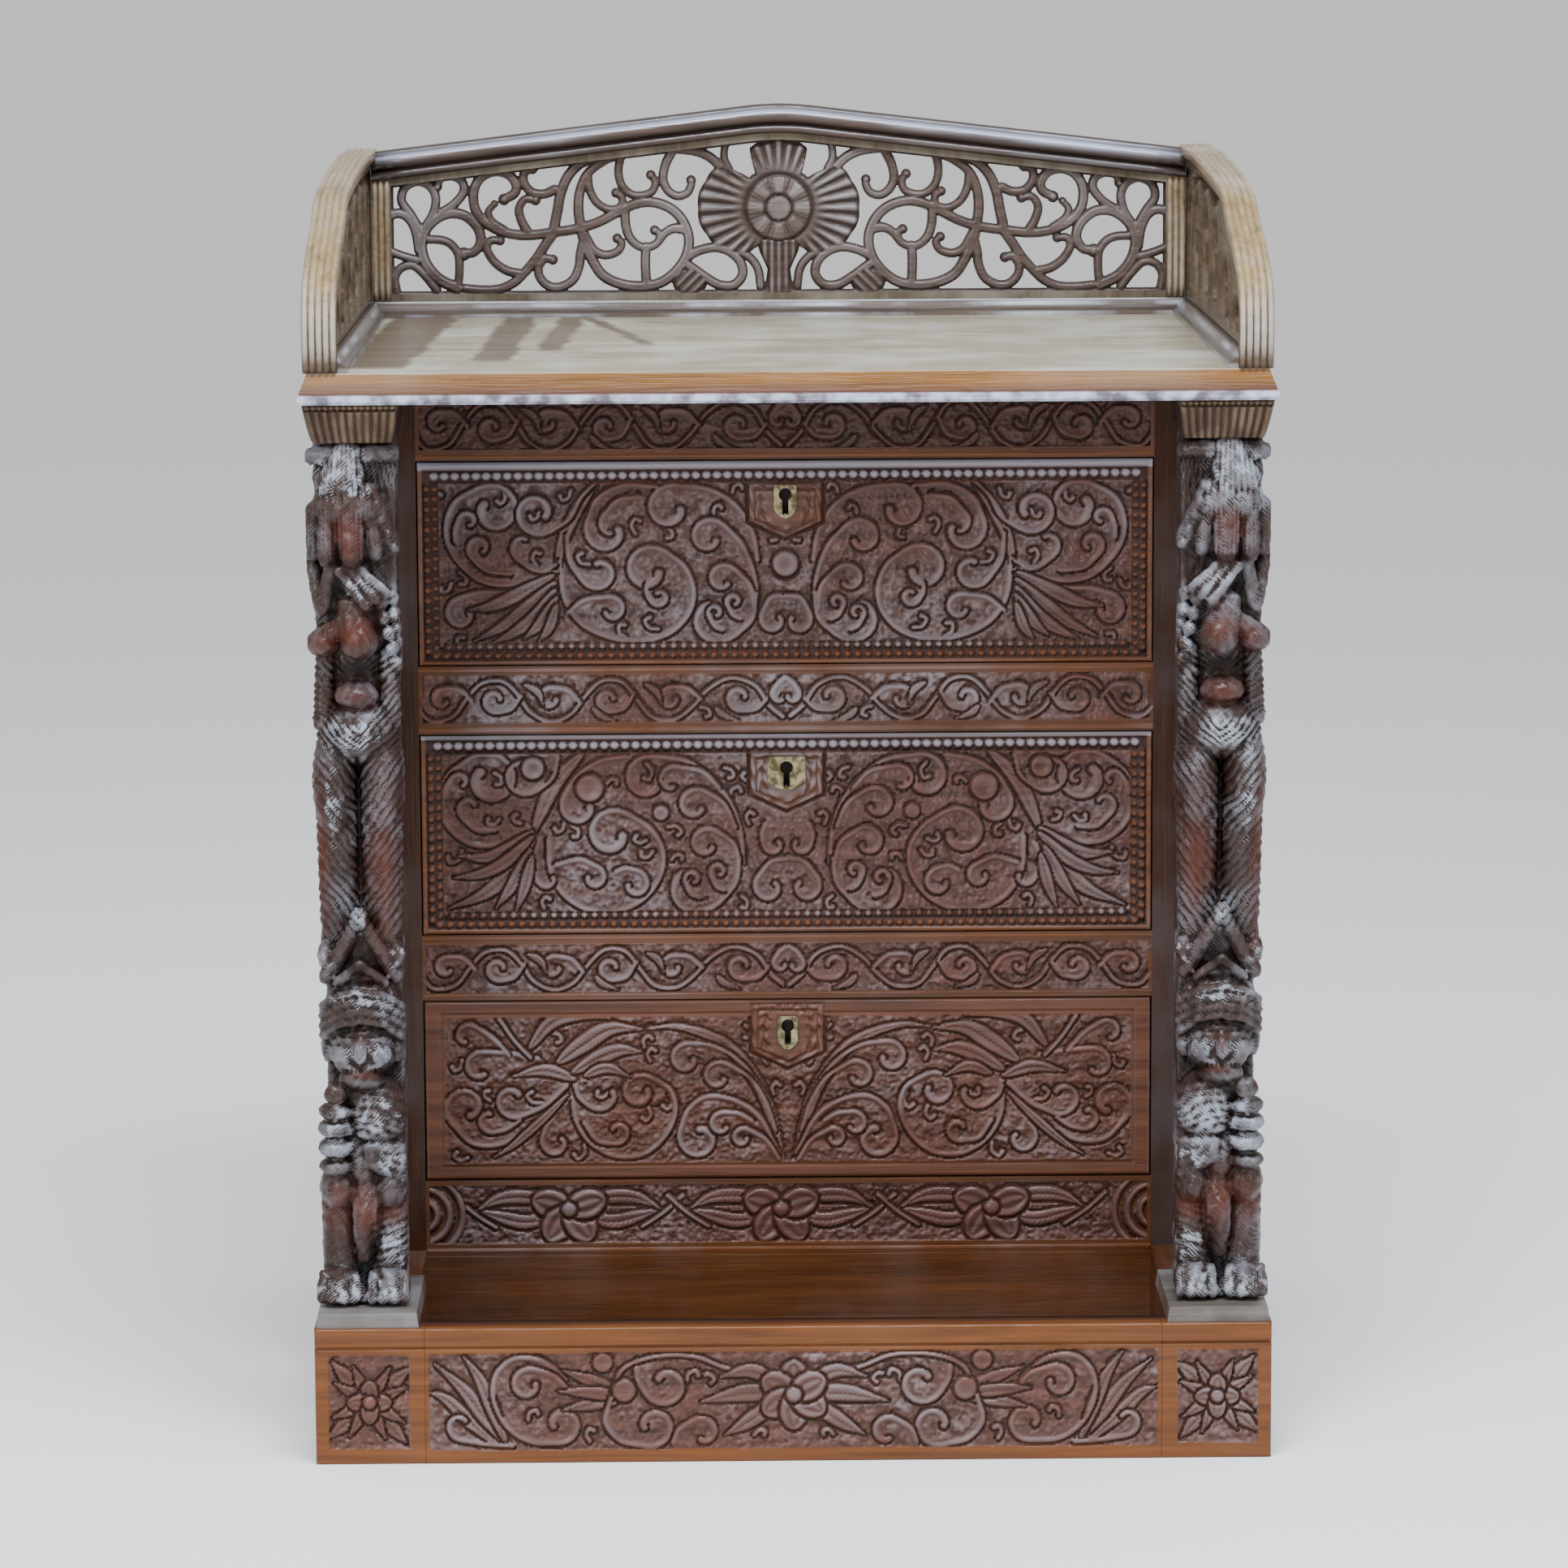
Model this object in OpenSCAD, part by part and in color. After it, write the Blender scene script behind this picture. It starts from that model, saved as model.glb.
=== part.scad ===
// Carved hardwood table-top chest of three drawers, with a pierced gallery,
// guardian-lion columns under the overhanging top and a trough in its base.
// X runs to the right, Y to the back and Z up. The origin is on the surface
// that it stands on, in the middle of its width and depth. Sizes are in mm.

/* [Table top] */
// Width of the table top
top_w = 500; // [480:1:560]
// Depth of the table top
top_d = 400; // [380:1:460]
// Thickness of the table top
top_t = 16; // [14:1:24]
// Distance from the top's front edge back to the drawer fronts
setback = 156; // [140:1:180]

/* [Base] */
// Width of the base
base_w = 496; // [480:1:520]
// Height of the base frame
base_h = 72; // [60:1:90]
// Distance that the base stands forward of the table top
base_proj = 20; // [10:1:40]
// Thickness of the base front
base_front_t = 18; // [16:1:24]
// Thickness of the base sides and back
base_side_t = 16; // [12:1:20]
// Width of a corner block
corner_w = 57; // [50:1:64]
// Thickness of the trough floor
floor_t = 8; // [5:1:12]
// Height of the trough floor above the ground
floor_lift = 4; // [2:1:8]
// Thickness of the boards that line the trough
lining_t = 12; // [10:1:14]
// Distance from the outside of the base to the inside of the trough
trough_wall = 50; // [44:1:60]

/* [Case] */
// Width of the case
case_w = 480; // [470:1:490]
// Thickness of the case sides
case_side_t = 14; // [10:1:18]
// Thickness of the case back
case_back_t = 8; // [5:1:10]
// Thickness of the rails and stiles
rail_t = 18; // [16:1:22]
// Width of the drawer openings
opening_w = 396; // [380:1:400]
// Height of the board at the back of the trough, from the ground
kick_h = 67; // [40:1:68]
// Height of the rail with the three flowers
floral_h = 44; // [36:1:60]
// Height of the lower vine rail
lower_rail_h = 36; // [30:1:50]
// Height of the upper vine rail
upper_rail_h = 37; // [30:1:50]
// Height of the frieze under the top
frieze_h = 44; // [36:1:60]
// Distance that the case back stays inside the top's back edge
back_inset = 10; // [0:1:20]
// Width of a drawer runner
runner_w = 40; // [34:1:60]
// Thickness of a drawer runner
runner_t = 12; // [8:1:20]
// Height of the guide strip on a runner
guide_h = 20; // [10:1:40]

/* [Drawers] */
// Height of the top drawer's opening
top_drawer_h = 111; // [90:1:140]
// Height of the middle drawer's opening
middle_drawer_h = 110; // [90:1:140]
// Height of the bottom drawer's opening
bottom_drawer_h = 100; // [90:1:140]
// Thickness of a drawer front
front_t = 18; // [16:1:24]
// Distance that a drawer front stands proud of the rails
front_proud = 2; // [1:0.5:4]
// Gap round a drawer front
front_gap = 0.8; // [0.5:0.1:1.5]
// Depth that the carved ground is sunk
ground_sunk = 2.5; // [1:0.5:4]
// Plain border round a drawer's carving
drawer_border = 9; // [6:1:14]
// Thickness of the drawer sides and back
drawer_side_t = 8; // [6:1:12]
// Thickness of a drawer bottom
drawer_bottom_t = 5; // [3:1:6]
// Depth of the groove that holds a drawer bottom
groove_d = 4; // [2:1:5]
// Height of the groove above the lower edge of a drawer side
groove_lift = 6; // [5:1:10]
// Height that a drawer side stays below its opening
side_drop = 14; // [8:1:24]
// Side play of a drawer box in its guides, at each side
box_play = 1.2; // [0.8:0.1:2]
// Lift of the drawer sides above their runners
run_play = 0.3; // [0.2:0.1:0.5]
// Gap behind a closed drawer
back_gap = 2; // [1:0.5:5]

/* [Locks] */
// Radius of a keyhole's round head
key_r = 3.4; // [2.5:0.1:4]
// Width of a keyhole's slot
key_slot_w = 3.2; // [2:0.1:4]
// Length of a keyhole from head centre to the end of the slot
key_slot_l = 10.5; // [7:0.5:14]
// Depth of the top and middle keyholes below the drawer's top edge
key_drop = 18; // [16:0.5:24]
// Depth of the bottom drawer's keyhole below its top edge
low_key_drop = 14; // [12:0.5:20]
// Thickness of a brass keyhole plate
plate_t = 1.2; // [0.8:0.1:1.5]
// Width of a lock case
lock_w = 34; // [28:1:44]
// Thickness of a lock case
lock_t = 7; // [6:0.5:9]
// Width of a lock bolt
bolt_w = 12; // [8:1:16]
// Thickness of a lock bolt
bolt_t = 3.2; // [2:0.1:4]
// Length of a lock bolt
bolt_l = 14; // [12:1:18]
// Travel of a lock bolt
bolt_throw = 6; // [4:0.5:7]
// Clearance round a lock bolt
bolt_play = 0.15; // [0.1:0.05:0.3]

/* [Columns] */
// Width of a column
column_w = 46; // [40:1:48]
// Thickness of a column's back board
board_t = 12; // [8:1:16]
// Distance from the top's front edge back to a column's board
board_setback = 54; // [50:1:70]
// Height of the block that a figure stands on
plinth_h = 8; // [5:1:14]
// Height of a capital
capital_h = 20; // [14:1:30]
// Gap that a column leaves beside the drawers' way
column_gap = 2; // [1:0.5:4]
// Distance that a figure's block reaches in past the column
plinth_over = 5; // [0:1:6]
// Distance that a column's board stays inside the column's sides
board_inset = 3; // [0:1:6]

/* [Gallery] */
// Thickness of the gallery sides
gallery_side_t = 15; // [12:1:20]
// Height of the gallery sides at the back
gallery_side_h = 96; // [80:1:120]
// Thickness of the pierced back panel
fret_t = 9; // [6:1:12]
// Depth of the gallery's back frame, front to back
frame_d = 14; // [12:1:20]
// Width of the back frame's stiles
gallery_stile_w = 11; // [8:1:16]
// Height of the back frame's bottom rail
foot_rail_h = 13; // [10:1:20]
// Width of the thin rim that the pierced work is left with
fret_rim = 1.2; // [1:0.1:3]
// Height that the back frame covers under the crest
top_rail_h = 4; // [3:0.5:8]
// Rise of the crest from its ends to its middle
crest_rise = 27.5; // [16:0.5:40]
// Height of the crest rail
crest_h = 16.5; // [12:0.5:20]
// Depth of the crest rail, front to back
crest_d = 19; // [15:1:24]
// Radius of the bend at the middle of the crest
crest_r = 150; // [100:10:400]
// Height of the foot mouldings inside the gallery
foot_h = 9; // [6:1:12]
// Width of the foot mouldings inside the gallery
foot_w = 8; // [5:1:12]
// Border round the pierced work in a gallery side
side_border = 13; // [10:1:18]

/* [Hidden] */
$fn = 48;
// Longer than any piece is: for cuts that pass right through.
through = top_w + top_d;
front_y = -(top_d + base_proj) / 2;
top_front_y = front_y + base_proj;
back_y = top_front_y + top_d;
case_y = top_front_y + setback;
case_back_y = back_y - back_inset;
box_half = opening_w / 2;
case_half = case_w / 2;
base_half = base_w / 2;
base_inner = base_half - base_side_t;
trough_half = base_half - trough_wall;
floor_top = floor_lift + floor_t;

floral_z = kick_h;
bottom_z = floral_z + floral_h;
lower_rail_z = bottom_z + bottom_drawer_h;
middle_z = lower_rail_z + lower_rail_h;
upper_rail_z = middle_z + middle_drawer_h;
top_z = upper_rail_z + upper_rail_h;
frieze_z = top_z + top_drawer_h;
case_top = frieze_z + frieze_h;
slab_top = case_top + top_t;

// Each drawer: name, floor of its opening, height of its opening, keyhole drop.
drawers = [
  ["top", top_z, top_drawer_h, key_drop],
  ["middle", middle_z, middle_drawer_h, key_drop],
  ["bottom", bottom_z, bottom_drawer_h, low_key_drop]
];

column_in = box_half + column_gap;
column_x = column_in + column_w / 2;
// Distance that a capital stays inside the end of the top.
capital_inset = 2;
capital_out = top_w / 2 - capital_inset;
board_y = top_front_y + board_setback;
figure_z = base_h + plinth_h;
figure_top = case_top - capital_h;
// The figure is drawn for these sizes and fitted to the ones that it has.
figure_design_h = 449;
figure_design_w = 46;
figure_design_d = 54;
stretch = (figure_top - figure_z) / figure_design_h;
spread = column_w / figure_design_w;
reach = board_setback / figure_design_d;

gallery_in = top_w / 2 - 2.5 - gallery_side_t;
frame_y = back_y - 1 - frame_d;
crest_end_h = gallery_side_h - crest_h - 2;
slope = atan(crest_rise / gallery_in);
// Height of the centre of the crest's bend above the table top.
bend_z = crest_end_h + crest_rise - crest_r / cos(slope);

dark_wood = [0.27, 0.15, 0.10];
warm_wood = [0.42, 0.22, 0.09];
pale_wood = [0.55, 0.45, 0.33];
brass = [0.72, 0.58, 0.30];
steel = [0.55, 0.55, 0.57];

// A box given by its lowest and highest corners.
module block(a, b) {
  translate(a) cube([b[0] - a[0], b[1] - a[1], b[2] - a[2]]);
}

// The children on the right-hand side, or mirrored to the left.
module on_side(s) {
  if (s > 0) children();
  else mirror([1, 0, 0]) children();
}

// An outline in X and Z, made into a board from y0 back to y1.
module board_xz(y0, y1) {
  translate([0, y1, 0]) rotate([90, 0, 0]) linear_extrude(y1 - y0) children();
}

// An outline in Y and Z, made into a board from x0 to x1.
module board_yz(x0, x1) {
  translate([x0, 0, 0]) rotate([90, 0, 90]) linear_extrude(x1 - x0) children();
}

// A point on the smooth curve through four points, between the middle two.
function bend(a, b, c, d, t) =
  0.5 * (2 * b + (c - a) * t + (2 * a - 5 * b + 4 * c - d) * t * t
  + (3 * b - a - 3 * c + d) * t * t * t);

// The smooth curve through a list of points, with some steps to each span.
function smooth(p, steps) = [
  for (i = [0 : len(p) - 2], s = [0 : steps - 1])
    bend(p[max(i - 1, 0)], p[i], p[i + 1], p[min(i + 2, len(p) - 1)], s / steps),
  p[len(p) - 1]
];

function heading(p, i) =
  let (d = p[min(i + 1, len(p) - 1)] - p[max(i - 1, 0)]) d / norm(d);

// A carved strand along a smooth curve, from width w0 to w1, with a round
// start and a round curl of radius r at its end.
module strand(points, w0, w1, r) {
  p = smooth(points, 2);
  n = len(p) - 1;
  half = [for (i = [0 : n]) (w0 + (w1 - w0) * i / n) / 2];
  side = [for (i = [0 : n]) let (h = heading(p, i)) [-h[1], h[0]] * half[i]];
  polygon(concat([for (i = [0 : n]) p[i] + side[i]],
                 [for (i = [n : -1 : 0]) p[i] - side[i]]));
  translate(p[0]) circle(w0 / 2, $fn = 12);
  translate(p[n]) circle(max(r, w1 / 2), $fn = 12);
}

// The pierced scrolls of the gallery's right half: the points of each strand,
// across from the middle and up from the table top, then its two widths and
// the radius of its curl.
scrolls_half_w = 232.5;
scrolls_h = 105;
scrolls = [
  [[[27, 82], [34, 90], [44, 93], [54, 90], [58, 83], [55, 76], [50, 76]], 4, 3, 3],
  [[[44, 95], [64, 95], [78, 89], [84, 78], [82, 68], [75, 62], [67, 64], [63, 71],
    [66, 78]], 5, 4, 3],
  [[[70, 95], [87, 92], [98, 85], [104, 75], [104, 65], [99, 57], [91, 56]], 5, 4, 3.2],
  [[[110, 92], [108, 78], [106, 64], [108, 50], [113, 42]], 5, 4, 0],
  [[[106, 88], [113, 92], [121, 86], [126, 74], [128, 62], [124, 52], [128, 42]],
    5, 4, 0],
  [[[118, 90], [125, 78], [131, 71], [138, 71]], 4.5, 3.5, 3],
  [[[126, 58], [134, 57], [142, 60], [145, 67]], 4, 3.5, 0],
  [[[144, 61], [148, 53], [144, 44]], 4, 3.5, 0],
  [[[58, 52], [70, 57], [84, 53], [100, 46], [125, 41], [150, 43], [164, 50],
    [172, 62], [173, 73], [167, 82], [156, 85], [147, 81], [142, 72], [146, 64],
    [153, 65]], 5.5, 4, 3],
  [[[110, 34], [102, 22], [88, 16], [72, 17], [60, 25], [54, 38], [58, 50],
    [70, 57], [82, 52], [88, 42], [84, 35], [76, 37]], 5, 4, 3],
  [[[57, 28], [64, 36], [74, 36], [84, 33]], 4, 3.5, 0],
  [[[88, 48], [88, 34], [90, 27], [98, 24]], 4.5, 4, 2.6],
  [[[112, 42], [110, 30], [114, 21], [122, 17], [130, 22], [131, 32], [125, 34]],
    5, 3.5, 3],
  [[[129, 41], [138, 28], [150, 21], [161, 24], [166, 33], [161, 41], [155, 39]],
    5, 3.5, 3],
  [[[136, 24], [152, 16], [174, 15], [190, 22], [198, 36], [196, 50], [187, 57],
    [176, 56], [168, 47], [169, 38], [175, 34], [181, 38]], 5.5, 4, 3],
  [[[160, 19], [167, 29], [176, 35], [188, 33], [191, 26]], 4.5, 4, 2.6],
  [[[170, 72], [177, 79], [186, 79], [190, 73]], 4.5, 3.5, 2.8],
  [[[173, 80], [176, 67], [183, 59], [192, 55]], 5, 5, 0],
  [[[195, 44], [194, 58], [199, 70], [208, 75], [216, 69], [216, 60], [208, 57]],
    5, 3.5, 3],
  [[[197, 34], [203, 45], [212, 51], [222, 49]], 5, 4, 0],
  [[[204, 32], [214, 35], [222, 32]], 4, 3.5, 0],
  [[[196, 18], [202, 30], [210, 34], [217, 28], [216, 20], [209, 18]], 4.5, 3.5, 2.8],
  [[[52, 30], [44, 38], [42, 46], [47, 50], [54, 44]], 4, 3.5, 0],
  [[[60, 22], [46, 30], [34, 38], [23, 36], [18, 27], [23, 18], [31, 18], [32, 25]],
    5, 4, 3],
  [[[42, 66], [46, 62], [52, 60], [60, 66]], 4.5, 4.5, 2.6],
  [[[30, 47], [38, 50], [45, 46]], 5, 5, 0],
  [[[8, 97], [12, 84], [20, 82], [26, 89], [24, 97]], 4, 4, 0],
  [[[8, 45], [14, 38], [20, 32]], 4, 4, 0]
];

// Solid leaves that fill the foot of the pierced work: the points of each.
leaves = [
  [[34, 12], [38, 20], [48, 26], [60, 24], [66, 12]],
  [[190, 12], [194, 20], [204, 22], [222, 12]],
  [[98, 90], [108, 84], [112, 96]]
];

module petals(count, r, bulge) {
  for (i = [0 : count - 1])
    rotate(i * 360 / count) translate([r, 0]) circle(bulge, $fn = 20);
}

// The flower at the middle of the pierced work, with its calyx and stem.
module flower_outline() {
  translate([0, 63]) {
    circle(17, $fn = 32);
    petals(6, 11, 8);
    for (s = [-1, 1]) {
      translate([s * 26, 6]) circle(13, $fn = 28);
      translate([s * 25, -6]) circle(13, $fn = 28);
      translate([s * 10, 24]) circle(9, $fn = 24);
    }
    translate([0, 27]) circle(12, $fn = 28);
  }
  polygon([[-7, 12], [7, 12], [5, 30], [13, 44], [-13, 44], [-5, 30]]);
}

// Height of the pierced panel's top edge at x, under the crest rail.
function fret_top(x) = crest_end_h + crest_rise * (1 - abs(x) / gallery_in);

// The back frame's outline, which follows the lower face of the crest rail.
module fret_outline() {
  polygon(concat(
    [[-gallery_in, 0], [gallery_in, 0], [gallery_in, fret_top(gallery_in)]],
    [for (i = [6 : -1 : -6]) let (a = slope * i / 6)
      [crest_r * sin(a), bend_z + crest_r * cos(a)]],
    [[-gallery_in, fret_top(gallery_in)]]));
}

module fret_window() {
  intersection() {
    translate([-gallery_in + gallery_stile_w, foot_rail_h])
      square([2 * (gallery_in - gallery_stile_w), through]);
    translate([0, -top_rail_h]) fret_outline();
  }
}

module table_top() {
  bead = 5;
  slope_in = 5;
  // Half of the edge profile, from the lower edge up: a bead, a cove and a slope.
  function edge(out, in) = [
    [out - in * 1.5, case_top], [out, case_top + 1.5], [out, case_top + bead - 1],
    [out - in, case_top + bead], [out - in, case_top + bead + 1],
    [out - in * slope_in, slab_top]
  ];
  color(pale_wood) intersection() {
    board_yz(-top_w / 2, top_w / 2)
      polygon(concat(edge(top_front_y, -1), [[back_y, slab_top], [back_y, case_top]]));
    board_xz(top_front_y, back_y)
      polygon(concat(edge(top_w / 2, 1),
                     [for (i = [5 : -1 : 0]) let (p = edge(-top_w / 2, -1)[i]) p]));
  }
}

// The crest rail's section: depth from front to back, and height.
module crest_section() {
  polygon([[-crest_d / 2, 4], [-crest_d / 2 + 2, 0], [crest_d / 2 - 1, 0],
           [crest_d / 2, 4], [crest_d / 2, crest_h - 3], [crest_d / 2 - 4, crest_h],
           [-crest_d / 2 + 6, crest_h], [-crest_d / 2 + 1, crest_h - 3],
           [-crest_d / 2 + 1, 7], [-crest_d / 2 + 3, 5]]);
}

module gallery_crest_rail() {
  cy = frame_y + frame_d - crest_d / 2;
  // The straight runs end where the bend takes over.
  tangent = crest_r * tan(slope / 2);
  apex = [0, slab_top + crest_end_h + crest_rise];
  run = gallery_in / cos(slope) - tangent;
  color(dark_wood) difference() {
    union() {
      for (s = [-1, 1])
        on_side(s) translate([0, cy, apex[1]]) rotate([0, slope, 0])
          translate([tangent, 0, 0]) rotate([90, 0, 90])
          linear_extrude(run + 4) crest_section();
      translate([0, cy, slab_top + bend_z])
        rotate([90, 0, 0]) rotate([0, 0, 90 - slope])
        rotate_extrude(angle = 2 * slope, $fn = 180)
        translate([crest_r, 0]) rotate(-90) crest_section();
    }
    for (s = [-1, 1])
      on_side(s) block([gallery_in, -through, 0], [gallery_in + through, through, 2 * through]);
  }
}

module gallery_back_frame() {
  color(dark_wood) translate([0, 0, slab_top]) board_xz(frame_y, frame_y + frame_d)
    difference() {
      fret_outline();
      fret_window();
    }
}

module gallery_fret() {
  y = frame_y + (frame_d - fret_t) / 2;
  color(dark_wood) translate([0, 0, slab_top]) board_xz(y, y + fret_t)
    offset(delta = 0) intersection() {
      fret_window();
      union() {
        scale([gallery_in / scrolls_half_w, fret_top(0) / scrolls_h]) {
          for (s = [1, -1]) mirror([s > 0 ? 0 : 1, 0]) {
            for (c = scrolls) strand(c[0], c[1], c[2], c[3]);
            for (l = leaves) polygon(smooth(concat(l, [l[0]]), 3));
          }
          flower_outline();
        }
        difference() {
          fret_window();
          offset(delta = -fret_rim) fret_window();
        }
      }
    }
}

// The outline of a gallery side: distance back from the top's front edge, drawn
// for this depth of top, and height as a share of the height at the back.
side_drawn_d = 400;
side_rise = [[3, 0], [1, 0.26], [10, 0.46], [44, 0.63], [85, 0.76], [118, 0.88],
             [165, 0.93], [216, 0.96], [300, 1], [340, 1]];

module side_outline() {
  along = top_d / side_drawn_d;
  curve = smooth([for (p = side_rise)
    [top_front_y + p[0] * along, p[1] * gallery_side_h]], 3);
  polygon(concat(curve, [[back_y - 1, gallery_side_h], [back_y - 1, 0]]));
}

// The scrolls of a gallery side, drawn for this length and height: distance
// back from the border, and height.
side_scrolls_l = 387;
side_scrolls_h = 96;
module side_scrolls() {
  y0 = top_front_y + side_border;
  long = (top_d - side_border) / side_scrolls_l;
  tall = gallery_side_h / side_scrolls_h;
  for (c = [[[18, 6], [40, 30], [70, 34], [84, 18], [66, 8], [54, 18]],
            [[90, 6], [96, 34], [120, 52], [146, 42], [144, 20], [124, 18], [122, 32]],
            [[150, 6], [168, 22], [160, 48], [176, 68], [200, 66], [208, 46],
             [192, 34], [182, 46]],
            [[206, 6], [224, 20], [222, 46], [232, 68], [256, 74], [270, 54],
             [256, 38], [244, 48]],
            [[262, 6], [284, 12], [292, 32], [284, 56], [300, 76], [322, 70],
             [326, 48], [310, 40], [303, 52]],
            [[318, 6], [336, 18], [342, 40], [336, 60], [350, 76], [366, 66]],
            [[60, 36], [88, 50], [110, 56], [134, 60], [170, 74]],
            [[100, 6], [128, 14], [150, 10], [168, 16], [196, 8], [222, 16],
             [250, 8], [276, 16], [300, 10], [340, 14]]])
    translate([y0, 0]) scale([long, tall]) strand(c, 6, 4.5, 3.4);
}

module gallery_side(s) {
  color(pale_wood) translate([0, 0, slab_top]) on_side(s)
    board_yz(gallery_in, gallery_in + gallery_side_t)
    offset(delta = 0) difference() {
      side_outline();
      difference() {
        offset(delta = -side_border) side_outline();
        side_scrolls();
      }
    }
}

module gallery_foot_mouldings() {
  // A foot moulding's section: width out from the wall, and height.
  module section() {
    polygon([[0, 0], [foot_w, 0], [foot_w, 3], [foot_w - 2, 4], [2.5, foot_h - 1],
             [2, foot_h], [0, foot_h]]);
  }
  color(dark_wood) translate([0, 0, slab_top]) {
    translate([-gallery_in, frame_y, 0]) mirror([0, 1, 0]) rotate([90, 0, 90])
      linear_extrude(2 * gallery_in) section();
    for (s = [-1, 1])
      on_side(s) translate([gallery_in, frame_y - foot_w, 0]) mirror([1, 0, 0])
        rotate([90, 0, 0]) linear_extrude(frame_y - foot_w - top_front_y - 6) section();
  }
}

module case_side(s) {
  color(warm_wood) on_side(s)
    block([case_half - case_side_t, case_y + rail_t, base_h],
          [case_half, case_back_y, case_top]);
}

module case_back() {
  x = case_half - case_side_t;
  color(warm_wood)
    block([-x, case_back_y - case_back_t, base_h], [x, case_back_y, case_top]);
}

module stile(s) {
  color(warm_wood) on_side(s) board_xz(case_y, case_y + rail_t)
    polygon([[box_half, floor_top], [base_inner, floor_top], [base_inner, base_h],
             [case_half, base_h], [case_half, case_top], [box_half, case_top]]);
}

// A rail between the stiles, with its carved ground sunk between two borders.
module rail(z, h, low_edge, high_edge) {
  color(dark_wood) difference() {
    block([-box_half, case_y, z], [box_half, case_y + rail_t, z + h]);
    block([-box_half + 2, case_y - 1, z + low_edge],
          [box_half - 2, case_y + ground_sunk, z + h - high_edge]);
    children();
  }
}

// The mortise in a rail's lower edge that a lock bolt goes up into.
module mortise(z) {
  y = lock_mid_y();
  block([-bolt_w / 2 - 1.5, y - bolt_t / 2 - 1, z - 1],
        [bolt_w / 2 + 1.5, y + bolt_t / 2 + 1, z + bolt_throw + 2]);
}

module frieze_rail() {
  rail(frieze_z, frieze_h, 6, 4) mortise(frieze_z);
}

module upper_rail() {
  rail(upper_rail_z, upper_rail_h, 6, 5) mortise(upper_rail_z);
}

module lower_rail() {
  rail(lower_rail_z, lower_rail_h, 4, 5) mortise(lower_rail_z);
}

module floral_rail() {
  rail(floral_z, floral_h, 8, 3);
}

module runners(s) {
  wall = case_half - case_side_t;
  color(warm_wood) on_side(s)
    for (d = drawers)
      translate([0, 0, d[1]]) board_xz(case_y + rail_t, case_back_y - case_back_t)
        polygon([[wall - runner_w, -runner_t], [wall, -runner_t], [wall, guide_h],
                 [box_half, guide_h], [box_half, 0], [wall - runner_w, 0]]);
}

module base_front() {
  x = base_half - corner_w;
  color(dark_wood) difference() {
    block([-x, front_y, 0], [x, front_y + base_front_t, base_h]);
    block([-x + 3, front_y - 1, 7], [x - 3, front_y + ground_sunk, base_h - 9]);
  }
}

module corner_block(s) {
  x = base_half - corner_w;
  color(dark_wood) on_side(s) difference() {
    block([x, front_y, 0], [base_half, front_y + base_front_t, base_h]);
    block([x + 9, front_y - 1, 7], [base_half - 8, front_y + ground_sunk, base_h - 9]);
  }
}

module base_side(s) {
  color(warm_wood) on_side(s)
    block([base_inner, front_y + base_front_t, 0],
          [base_half, back_y - base_side_t, base_h]);
}

module base_back() {
  color(warm_wood)
    block([-base_half, back_y - base_side_t, 0], [base_half, back_y, base_h]);
}

module trough_back() {
  color(warm_wood)
    block([-box_half, case_y, floor_top], [box_half, case_y + rail_t, kick_h]);
}

module trough_floor() {
  color(warm_wood)
    block([-base_inner, front_y + base_front_t, floor_lift],
          [base_inner, back_y - base_side_t, floor_top]);
}

// The lining of one end of the trough, with the deck that carries a column.
module trough_side(s) {
  color(warm_wood) on_side(s) board_xz(front_y + base_front_t, case_y)
    polygon([[trough_half, floor_top], [trough_half + lining_t, floor_top],
             [trough_half + lining_t, base_h - lining_t],
             [base_inner, base_h - lining_t], [base_inner, base_h],
             [trough_half, base_h]]);
}

module column_board(s) {
  color(warm_wood) on_side(s)
    block([column_in + board_inset, board_y, figure_z],
          [column_in + column_w - board_inset, board_y + board_t, figure_top]);
}

module lion_plinths() {
  over = plinth_over;
  color(dark_wood)
    for (s = [-1, 1])
      on_side(s) board_xz(front_y + 3, board_y + board_t)
        polygon([[column_in - over - 1, base_h], [column_in + column_w + 1, base_h],
                 [column_in + column_w, figure_z], [column_in - over, figure_z]]);
}

// The fluted capital that carries the table top.
module capital(s) {
  flutes = 8;
  pitch = (capital_out - column_in - 4) / flutes;
  color(pale_wood) on_side(s) difference() {
    intersection() {
      board_xz(top_front_y + 2, board_y + board_t) polygon([
        [column_in + 2, figure_top], [capital_out - 5, figure_top],
        [capital_out - 1, case_top - 8], [capital_out, case_top],
        [column_in - 1, case_top], [column_in, case_top - 8]]);
      board_yz(column_in - 2, capital_out + 1) polygon([
        [board_y + board_t, figure_top], [top_front_y + 9, figure_top],
        [top_front_y + 4, case_top - 9], [top_front_y + 2, case_top - 4],
        [top_front_y + 2, case_top], [board_y + board_t, case_top]]);
    }
    for (i = [0 : flutes - 1])
      translate([column_in + 1 + (i + 0.5) * pitch, top_front_y + 4.5, figure_top - 1])
        rotate([14, 0, 0]) cylinder(r = pitch * 0.36, h = capital_h - 3);
  }
}

// Forms of the lion, in the column's own frame: X out from its middle, Y
// forward from its board and Z up from the plinth, in the drawn height.
function figure_point(p) = [p[0] * spread, -p[1] * reach, p[2] * stretch];

module ball(p, r) {
  translate(figure_point(p)) scale([r[0] * spread, r[1] * reach, r[2] * stretch])
    sphere(1, $fn = 10);
}

module limb(a, ra, b, rb) {
  hull() {
    translate(figure_point(a)) sphere(ra * spread, $fn = 8);
    translate(figure_point(b)) sphere(rb * spread, $fn = 8);
  }
}

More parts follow.
